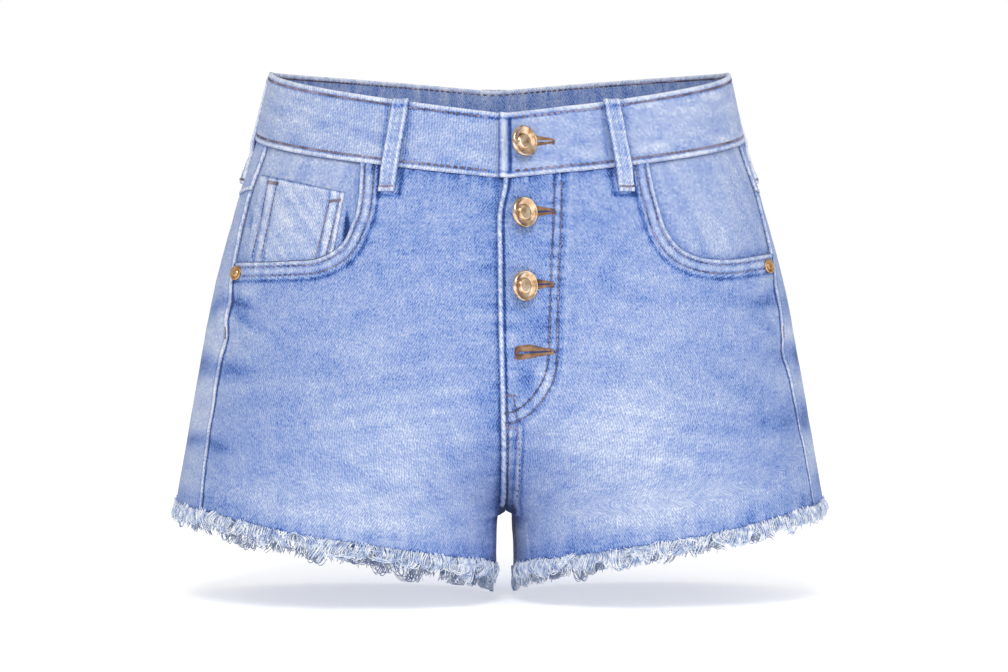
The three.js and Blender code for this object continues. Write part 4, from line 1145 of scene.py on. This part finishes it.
def on_surface(skin, side, turn, z, inner=False):
    """Where lines from outside, or from inside, meet a piece at places of the form, and its normals there."""
    way = -1 if inner else 1
    far = 0.001 * form_at(side, turn, z, 16 * way)
    inward = -outwards(*np.broadcast_arrays(side, turn, z)) * way
    places, normals = [], []
    for start, ray in zip(far, inward):
        place, normal, _, _ = skin.ray_cast(Vector(start), Vector(ray), 0.03)
        if place is None:
            place, normal = Vector(start + ray * 0.015), Vector(-ray)
        if normal.dot(Vector(ray)) > 0:
            normal = -normal
        places.append(place[:])
        normals.append(normal[:])
    return np.array(places), np.array(normals)


def evenly(points, pitch):
    """Points of a line at an even pitch."""
    p = np.array(points, float)
    far = np.concatenate([[0], np.cumsum(np.linalg.norm(np.diff(p, axis=0), axis=1))])
    count = max(2, int(round(far[-1] / pitch)) + 1)
    at = np.linspace(0, far[-1], count)
    return np.stack([np.interp(at, far, p[:, k]) for k in range(p.shape[1])], 1)


def front_turn(points):
    return turn_across(points[:, 0], points[:, 1])


stitches = []


def lay(places, along, normals, length, width=STITCH_WIDTH, height=STITCH_HEIGHT):
    """Keeps one stitch at each place, pointing along it."""
    along = along / np.linalg.norm(along, axis=1, keepdims=True)
    aside = np.cross(normals, along)
    aside /= np.linalg.norm(aside, axis=1, keepdims=True)
    up = np.cross(along, aside)
    sizes = 0.001 * np.stack([size + 0 * along[:, 0] for size in (length, width, height)], 1)
    frame_of = np.stack([along, aside, up], 1) * sizes[:, :, None]
    stitches.append(places[:, None, :] + stitch_points @ frame_of + up[:, None, :] * (0.001 * STITCH_SINK))


def sew(skin, side, turn, z, length=STITCH_LENGTH, inner=False, width=STITCH_WIDTH):
    """A row of stitches between neighbouring places of the form."""
    places, normals = on_surface(skin, side, turn, z, inner)
    lay((places[1:] + places[:-1]) / 2, np.diff(places, axis=0), normals[1:] + normals[:-1], length, width)


def sew_front(skin, side, line, pitch=STITCH_PITCH):
    """A row on the front along a line of distances from the centre and heights."""
    p = evenly(line, pitch)
    sew(skin, side, front_turn(p), p[:, 1], pitch - 0.1)


def tack(skin, side, turn_from, z_from, turn_to, z_to, length=2.2):
    """A bar tack: close stitches that lie across a short line."""
    ends = 0.001 * form_at(side, np.array([turn_from, turn_to]), np.array([z_from, z_to]), 0)
    count = max(3, int(np.linalg.norm(ends[1] - ends[0]) * 1000 / TACK_PITCH))
    share = np.linspace(0, 1, count)
    places, normals = on_surface(skin, side, mix(turn_from, turn_to, share), mix(z_from, z_to, share))
    along = np.cross(normals, np.tile(ends[1] - ends[0], (count, 1)))
    lay(places, along, normals, length, 0.7, 0.6)


def finish_stitches(name, material):
    """Joins the stitches kept so far to one piece."""
    every = np.vstack([s.reshape(-1, 3) for s in stitches])
    copies = len(every) // len(stitch_points)
    faces = [tuple(i + k * len(stitch_points) for i in f) for k in range(copies) for f in stitch_faces]
    mesh = bpy.data.meshes.new(name)
    mesh.from_pydata(every.tolist(), [], faces)
    work = bmesh.new()
    work.from_mesh(mesh)
    bmesh.ops.recalc_face_normals(work, faces=work.faces)
    work.to_mesh(mesh)
    work.free()
    mesh.materials.append(material)
    piece = bpy.data.objects.new(name, mesh)
    bpy.context.scene.collection.objects.link(piece)
    piece.data.polygons.foreach_set("use_smooth", [True] * len(mesh.polygons))
    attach(piece, "root")
    stitches.clear()


def sew_pocket(skin, side, s, t):
    """A row on a back pocket through these shares of its width and height."""
    line = evenly(np.stack(pocket_edge(s, t), 1), STITCH_PITCH)
    sew(skin, side, -turn_across(line[:, 0], line[:, 1]), line[:, 1])


YOKE_SPAN = 150  # how far a radian goes round at the yoke seam, about

front_skin = {side: outside_of(fronts[side]) for side in (RIGHT, LEFT)}
for side in (RIGHT, LEFT):
    for aside in (2.7, 7.8):
        line = moved_line(mouth_lines[side][mouth_lines[side][:, 0] < 158], -aside)
        line = line[line[:, 1] < -34]
        limit = np.degrees(front_turn(line)) > 19
        sew_front(front_skin[side], side, line[limit])
for line in (j_outer, j_inner):
    sew_front(front_skin[LEFT], LEFT, line[line[:, 1] < -45.5])
z_down = np.linspace(-48, -236, 60)
reach_down = table_at(FLY_EDGE, "z", "reach", z_down)
for aside, upto in ((4.0, -172), (8, -168)):
    keep = z_down < upto + 1
    sew_front(front_skin[LEFT], LEFT, np.stack([(aside - reach_down)[keep], z_down[keep]], 1))
for level in (-168, -186.5):
    turns = front_turn(np.array([[-2.7, level], [3.1, level]]))
    tack(front_skin[LEFT], LEFT, turns[0], level, turns[1], level)

coin_skin = outside_of(coin_pocket)
coin = [np.array(c, float) for c in COIN_CORNERS]
for a, b, inward, rows in ((coin[0], coin[3], -1, COIN_ROWS[:2]), (coin[1], coin[2], 1, COIN_ROWS[2:])):
    for aside in rows:
        sew_front(coin_skin, RIGHT, np.array([a + (inward * aside, -4), b + (inward * aside, 7.5)]))
    near, far = a + (inward * (rows[0] - 0.6), -4.4), a + (inward * (rows[1] + 0.6), -5.4)
    turns = front_turn(np.array([near, far]))
    tack(coin_skin, RIGHT, turns[0], near[1], turns[1], far[1], 2.4)
finish_stitches("stitches_front", topstitch_thread)

for side in (RIGHT, LEFT):
    back, yoke, pocket = (outside_of(piece) for piece in backs[side])
    turns = np.linspace(-QUARTER + 0.02, math.radians(-6), 90)
    for above in (2.8, 7.4):
        line = evenly(np.stack([turns * YOKE_SPAN, yoke_seam(turns) + above], 1), STITCH_PITCH)
        sew(yoke, side, line[:, 0] / YOKE_SPAN, line[:, 1])
    for aside in (2.4, 7.6) if side == LEFT else ():
        for skin, high, low in ((yoke, -34, -86), (back, -90, -238)):
            z = np.arange(high, low, -STITCH_PITCH)
            sew(skin, side, -turn_across(aside + 0 * z, z), z)
    for inset in (2.9, 8.5):
        share, down = inset / POCKET_WIDTH, inset / POCKET_HEIGHT
        path = [(share, 0.02), (share, 1 - down), (0.5, 1 - down), (1 - share, 1 - down), (1 - share, 0.02)]
        path = evenly(path, 0.02)
        sew_pocket(pocket, side, path[:, 0], path[:, 1])
    sew_pocket(pocket, side, np.linspace(0.03, 0.97, 30), np.full(30, 0.135))
    for share in (0.03, 0.97):
        across, z = pocket_edge(np.array([share, share]), np.array([0.03, 0.1]))
        turns = -turn_across(across, z)
        tack(pocket, side, turns[0], z[0], turns[1], z[1], 2.6)
    level = np.array([-131.0, -137.5])
    beside = side_seam_turn(level, side) - 1.6 / RADIAN_SPAN
    tack(back, side, beside[0], level[0], beside[1], level[1], 1.3)
finish_stitches("stitches_back", topstitch_thread)

band_skin = outside_of(waistband)
gone = np.arange(30 / band_span, band_total - 2.6 / band_span, STITCH_PITCH / band_span)
side, turn, _ = band_place(gone)
for which, inset, within in (("top", -3.6, -2.6), ("bottom", 3.0, 3.0)):
    sew(band_skin, side, turn, band_edge(turn, which) + inset, width=1.8)
    sew(band_skin, side, turn, band_edge(turn, which) + within, inner=True, width=1.3)
for word, (side, _, bottom_turn) in LOOPS.items():
    bottom_turn = math.radians(bottom_turn)
    low = float(loop_end(word, bottom_turn)) + 2.6
    reach = 4.4 / loop_span(word, low)
    tack(outside_of(loops[word]), side, bottom_turn - reach, low, bottom_turn + reach, low, 1.6)
finish_stitches("stitches_band", topstitch_thread)


# Buttonholes
# Slits whose edges are closely sewn over with a lighter thread, wide at the shank. Three hold a button
# and the lowest one is empty.

HOLE_FROM_X = 4.2
HOLE_ENDS_X = (26.4, 27, 25.6, 25)
PURL_PITCH = 0.55
PURL_LENGTH = 4.6

buttonhole_thread, tree, shader = new_material("buttonhole_thread", 0.7)
speckled(tree, shader, 160, ("#4C382F", "#7C5C48", "#A5825F"), (0.34, 0.5, 0.68))

for level, end_x in zip(HOLE_LEVELS, HOLE_ENDS_X):
    skin = band_skin if level == HOLE_LEVELS[0] else front_skin[LEFT]
    for rim in (-1, 1):
        x = np.arange(HOLE_FROM_X, end_x, PURL_PITCH)
        gone = (x - HOLE_FROM_X) / (end_x - HOLE_FROM_X)
        reach = 1.3 + 3.1 * (1 - gone) ** 0.75 + (1.4 if rim > 0 else 0) * ridge(gone, 0.36, 0.26)
        length = np.minimum(reach - 0.2, PURL_LENGTH)
        z = level + rim * (reach - length / 2) + 0.05 * (x - HOLE_FROM_X)
        places, normals = on_surface(skin, LEFT, turn_across(x, z), z)
        upright = np.tile([0.16 * rim, 0.0, 1.0], (len(x), 1))
        lay(places, upright, normals, length, 0.75, 0.9)
    for at, reach, length in ((HOLE_FROM_X, 3.2, 2.6), (end_x, 1.2, 1.8)):
        z = level + 0.4 + np.arange(-reach, reach, PURL_PITCH)
        places, normals = on_surface(skin, LEFT, turn_across(at + 0 * z, z), z)
        lay(places, np.tile([1.0, 0, 0], (len(z), 1)), normals, length, 0.75, 0.95)
finish_stitches("stitches_buttonholes", buttonhole_thread)


# Buttons
# Cast brass caps with a raised rim, a step and a plain centre, on shanks through the buttonholes.

BUTTON_X = 9.4
BUTTON_RADIUS = 9
BUTTON_RISE = 4.5
BUTTON_TILT = math.radians(37)
BUTTON_SIDES = 64
SHANK_RADIUS, SHANK_DEPTH = 0.0018, 0.0042
BAND_LIFT, LAP_LIFT = 3.1, 1.8  # how far the cloth under a button stands off the form
SHARP_ANGLE = math.radians(38)
# How far each ring lies inside the last one, and how much higher.
BUTTON_RINGS = (
    (0.3, 0.5), (0.4, 0.25), (0.35, -0.05), (0.35, -0.35), (1.4, -0.45),
    (1.4, -0.4), (0.3, -0.2), (0.25, 0.6), (0.35, 0.2), (0.7, 0.05),
)


def metal_material(name, hexes, roughness, scale):
    """Brassy metal, brighter and duller in patches, which stand for rubbed wear and for painted bright and
    dark reflections.
    """
    material, tree, shader = new_material(name, roughness, 1.0)
    wear_and_reflections = speckled(tree, shader, scale, hexes, (0.3, 0.5, 0.75), detail=4)
    bump = add_node(tree, "ShaderNodeBump", {"Height": wear_and_reflections, "Strength": 0.25, "Distance": 0.0004})
    tree.links.new(bump.outputs["Normal"], shader.inputs["Normal"])
    return material


def turned_cap(name, radius, depth, sides, rings):
    """A disc whose top is inset ring by ring."""
    bpy.ops.object.select_all(action="DESELECT")
    middle = (0, 0, depth / 2)
    bpy.ops.mesh.primitive_cylinder_add(vertices=sides, radius=radius, depth=depth, location=middle)
    bpy.ops.object.transform_apply(location=True)
    cap = bpy.context.active_object
    cap.name = cap.data.name = name
    bpy.ops.object.mode_set(mode="EDIT")
    bpy.ops.mesh.select_all(action="DESELECT")
    bpy.ops.object.mode_set(mode="OBJECT")
    for face in cap.data.polygons:
        face.select = face.normal.z > 0.9
    bpy.ops.object.mode_set(mode="EDIT")
    for inset, height in rings:
        bpy.ops.mesh.inset(thickness=0.001 * inset, depth=0.001 * height)
    bpy.ops.object.mode_set(mode="OBJECT")
    bpy.ops.object.shade_smooth_by_angle(angle=SHARP_ANGLE)
    return cap


def set_on(piece, side, turn, z, lift, tilt=0.0):
    """Moves a piece's mesh onto the form, its Z square to the cloth and then turned about the upright."""
    spot_at = [np.array(v, float) for v in (side, turn, z)]
    out = outwards(*spot_at)
    axis = Vector(out)
    c, s = math.cos(tilt), math.sin(tilt)
    axis = Vector((c * axis.x - s * axis.y, s * axis.x + c * axis.y, axis.z))
    place = Vector(0.001 * (smooth_form(*spot_at) + out * lift))
    matrix = Vector((0, 0, 1)).rotation_difference(axis).to_matrix().to_4x4()
    matrix.translation = place
    piece.data.transform(matrix)


# The palest colour is a painted highlight and the darkest a painted dark reflection, with rubbed wear
# between.
button_brass = metal_material("button_brass", ("#8F6A48", "#D8B794", "#F8EDDC"), 0.2, 220)
for k, level in enumerate(BUTTON_LEVELS):
    lift = BUTTON_RISE + (BAND_LIFT if k == 0 else LAP_LIFT)
    cap = turned_cap(f"cap_{k + 1}", 0.001 * BUTTON_RADIUS, 0.0009, BUTTON_SIDES, BUTTON_RINGS)
    middle = (0, 0, -SHANK_DEPTH / 2)
    bpy.ops.mesh.primitive_cylinder_add(vertices=24, radius=SHANK_RADIUS, depth=SHANK_DEPTH, location=middle)
    bpy.ops.object.transform_apply(location=True)
    bpy.ops.object.shade_smooth_by_angle(angle=SHARP_ANGLE)
    cap.select_set(True)
    bpy.context.view_layer.objects.active = cap
    bpy.ops.object.join()
    cap.data.materials.append(button_brass)
    set_on(cap, LEFT, float(turn_across(BUTTON_X, level)), level, lift, BUTTON_TILT)
    dress(cap, "button_brass", f"button_{k + 1}")


# Rivets
# Coppery caps at the outer ends of the pocket mouths, with a small raised middle.

RIVET_X = 155.5
RIVET_LEVELS = {RIGHT: -99.5, LEFT: -95.8}
RIVET_TILT = math.radians(14)
RIVET_RADIUS = 4.3
RIVET_RINGS = ((0.4, 0.3), (0.5, 0.12), (0.5, -0.12), (0.7, -0.15), (0.35, 0.4), (0.4, 0.18), (0.7, 0.06))

rivet_copper = metal_material("rivet_copper", ("#94714A", "#C79C6C", "#E3C49A"), 0.3, 240)
for side, word in SIDES:
    cap = turned_cap(f"rivet_cap_{word}", 0.001 * RIVET_RADIUS, 0.0006, 48, RIVET_RINGS)
    cap.data.materials.append(rivet_copper)
    level = RIVET_LEVELS[side]
    set_on(cap, side, float(turn_across(RIVET_X, level)), level, LIP_RISE + 0.9, -side * RIVET_TILT)
    dress(cap, "rivet_copper", f"rivet_{word}")


# Frayed hems
# The cut edges have come undone: white weft and a few blue warp threads hang in loops and tangles.

LOCKS_A_LEG = 104
THREADS_A_LOCK = 8
STRAYS_A_LEG = 180
TANGLES_A_LEG = 80
SHORT_A_LEG = 800
THREAD_POINTS, SHORT_POINTS, TANGLE_POINTS = 9, 5, 14
THREAD_RADIUS = 0.34
LOWEST_THREAD = -294.4
HEM_SPAN = 88  # how far a radian goes round a leg at the hem, about

fringe_material, tree, shader = new_material("loose_cotton_threads", 0.9)
shader.inputs["Sheen Weight"].default_value = 0.2


def duller_behind(place):
    """A little off the tone towards the back, where less light comes."""
    depth = add_node(tree, "ShaderNodeSeparateXYZ", {"Vector": place}).outputs["Y"]
    span = {"Value": depth, "From Min": -0.03, "From Max": 0.04, "To Min": 0.0, "To Max": -0.02}
    return add_node(tree, "ShaderNodeMapRange", span).outputs["Result"]


FRINGE_HEX = ("#8A9DC8", "#A5B5D8", "#CAD4E6", "#EBEDF2")
speckled(tree, shader, 300, FRINGE_HEX, (0.28, 0.38, 0.5, 0.64), shade=duller_behind)


def wrapped(turn):
    """The same turn, kept within half a turn of the side where it runs past the inseam."""
    return (turn + math.pi) % (2 * math.pi) - math.pi


def add_thread(data, side, turn, z, away, radius):
    """One thread along places of the form."""
    turn = wrapped(turn)
    out = outwards(*np.broadcast_arrays(side, turn, z))
    points = 0.001 * (form_at(side, turn, z, 0) + out * away[:, None])
    spline = data.splines.new("POLY")
    spline.points.add(len(points) - 1)
    spline.points.foreach_set("co", np.column_stack([points, np.ones(len(points))]).ravel())
    spline.points.foreach_set("radius", radius)


def root_at(turn):
    return hem_at(wrapped(turn))


def fringe(side, word, rng):
    """A leg's threads: locks that hang together, short ones that hide the cut, strays and tangles."""
    name = f"threads_{word}"
    data = bpy.data.curves.new(name, "CURVE")
    data.dimensions = "3D"
    data.bevel_depth = 0.001 * THREAD_RADIUS
    data.bevel_resolution = 0
    s = np.linspace(0, 1, THREAD_POINTS)
    for k in range(LOCKS_A_LEG):
        middle = 2 * math.pi * (k + rng.uniform(0.1, 0.9)) / LOCKS_A_LEG
        length = rng.uniform(8, 13.5) + (3 if middle > math.pi else 0)
        lean, bow = rng.normal(0, 3), rng.normal(0, 2.4)
        bulge, start = rng.uniform(0.8, 2.8), rng.uniform(-0.6, 0.2)
        looped = rng.random() < 0.3
        for place in np.linspace(-3.4, 3.4, THREADS_A_LOCK):
            own = length * (rng.uniform(0.86, 1.06) - 0.012 * place * np.sign(bow))
            down = own * (np.sin(math.pi * 0.74 * s) if looped else s**0.9 - 0.12 * s**4)
            aside = place * (1 - 0.25 * s) + rng.normal(0, 0.3) + (lean + rng.normal(0, 0.5)) * s**1.5
            aside = aside + (bow + rng.normal(0, 0.3)) * np.sin(math.pi * s)
            aside = aside + looped * math.copysign(rng.uniform(2.5, 4), lean) * s**2
            away = start + bulge * np.sin(math.pi * np.minimum(1, 1.1 * s)) * rng.uniform(0.8, 1.1)
            turn = middle + aside / HEM_SPAN
            z = np.maximum(root_at(turn[:1]) + rng.uniform(0.4, 1.6) - down, LOWEST_THREAD)
            add_thread(data, side, turn, z, away, 1 - 0.35 * s**3)
    few = np.linspace(0, 1, SHORT_POINTS)
    for _ in range(SHORT_A_LEG):
        middle = rng.uniform(0, 2 * math.pi)
        turn = middle + (rng.normal(0, 1.8) * few + rng.normal(0, 1.2) * np.sin(math.pi * few)) / HEM_SPAN
        length = rng.uniform(5, 9) + 3 * (middle > math.pi)
        z = np.maximum(root_at(turn[:1]) + 0.6 - length * few, LOWEST_THREAD)
        add_thread(data, side, turn, z, rng.uniform(-1.2, -0.2) + rng.uniform(-0.6, 1) * few, 1 - 0.3 * few)
    for _ in range(STRAYS_A_LEG):
        middle = rng.uniform(0, 2 * math.pi)
        curl, cycles, phase = rng.uniform(0.5, 1.8), rng.uniform(0.6, 1.8), rng.uniform(0, 6.3)
        aside = rng.normal(0, 2.4) * s + curl * np.sin(2 * math.pi * cycles * s + phase) * s**0.6
        away = rng.uniform(-1, 0.4) + curl * 0.7 * np.cos(2 * math.pi * cycles * s + phase) * s
        turn = middle + aside / HEM_SPAN
        z = np.maximum(root_at(turn[:1]) + rng.uniform(0.3, 2) - rng.uniform(7, 15) * s, LOWEST_THREAD)
        add_thread(data, side, turn, z, away, 0.7 - 0.25 * s**2)
    along = np.linspace(0, 1, TANGLE_POINTS)
    for _ in range(TANGLES_A_LEG):
        middle, span = rng.uniform(0, 2 * math.pi), rng.uniform(6, 20) / HEM_SPAN
        swing = np.sin(2 * math.pi * along * rng.uniform(1, 2.5) + rng.uniform(0, 6))
        turn = middle + span * (along + 0.14 * swing)
        wave = rng.uniform(1, 2.8) * np.sin(2 * math.pi * along * rng.uniform(0.8, 2.2) + rng.uniform(0, 6))
        level = rng.uniform(1.2, 6.5)
        z = root_at(turn) - level - wave * np.sin(math.pi * along) + (level + 1) * np.abs(2 * along - 1) ** 4
        away = rng.uniform(-0.4, 1.4) + 0.8 * np.sin(2 * math.pi * along * 1.3 + rng.uniform(0, 6))
        add_thread(data, side, turn, z, away, np.full(TANGLE_POINTS, 0.8))
    made = bpy.data.objects.new(name, data)
    bpy.context.scene.collection.objects.link(made)
    bpy.ops.object.select_all(action="DESELECT")
    made.select_set(True)
    bpy.context.view_layer.objects.active = made
    bpy.ops.object.convert(target="MESH")
    made = bpy.context.active_object
    made.data.materials.clear()
    made.data.materials.append(fringe_material)
    bpy.ops.object.shade_smooth()
    return made


for side, word in SIDES:
    threads = fringe(side, word, np.random.default_rng(200 + side))
    dress(threads, "loose_threads", f"hem_fringe_{word}")


# The floor and the light
# A white studio floor just under the threads, under a broad soft light from above and in front.

FLOOR_Z = -0.2955
FLOOR_GLOW = 0.42

floor_material, tree, shader = new_material("studio_floor", 0.9)
shader.inputs["Base Color"].default_value = linear("#FDFDFD")
shader.inputs["Emission Color"].default_value = linear("#FFFFFF")
shader.inputs["Emission Strength"].default_value = FLOOR_GLOW
shader.inputs["Specular IOR Level"].default_value = 0.0
bpy.ops.object.select_all(action="DESELECT")
bpy.ops.mesh.primitive_plane_add(size=12, location=(0, 0, FLOOR_Z))
bpy.ops.object.transform_apply(location=True)
floor = bpy.context.active_object
floor.name = "studio_floor"
floor.data.materials.append(floor_material)


def soft_light(name, place, size, power, colour="#FFFFFF"):
    data = bpy.data.lights.new(name, "AREA")
    data.shape = "RECTANGLE"
    data.size, data.size_y = size
    data.energy = power
    data.color = linear(colour)[:3]
    lamp = bpy.data.objects.new(name, data)
    bpy.context.scene.collection.objects.link(lamp)
    lamp.location = place
    aim = Vector((0, 0, -0.14)) - Vector(place)
    lamp.rotation_euler = aim.to_track_quat("-Z", "Y").to_euler()


soft_light("key", (-0.25, -2.2, 1.6), (1.1, 0.9), 36)
soft_light("fill", (1.7, -1.6, 0.5), (1.6, 1.6), 8)

world = bpy.data.worlds.new("studio")
bpy.context.scene.world = world
world.use_nodes = True
tree = world.node_tree
background = tree.nodes["Background"]
background.inputs["Color"].default_value = linear("#FFFFFF")
is_seen = add_node(tree, "ShaderNodeLightPath").outputs["Is Camera Ray"]
strength = add_node(tree, "ShaderNodeMath", {0: is_seen, 1: 0.4, 2: 0.6}, operation="MULTIPLY_ADD")
tree.links.new(strength.outputs[0], background.inputs["Strength"])
bpy.context.scene.view_settings.view_transform = "Standard"
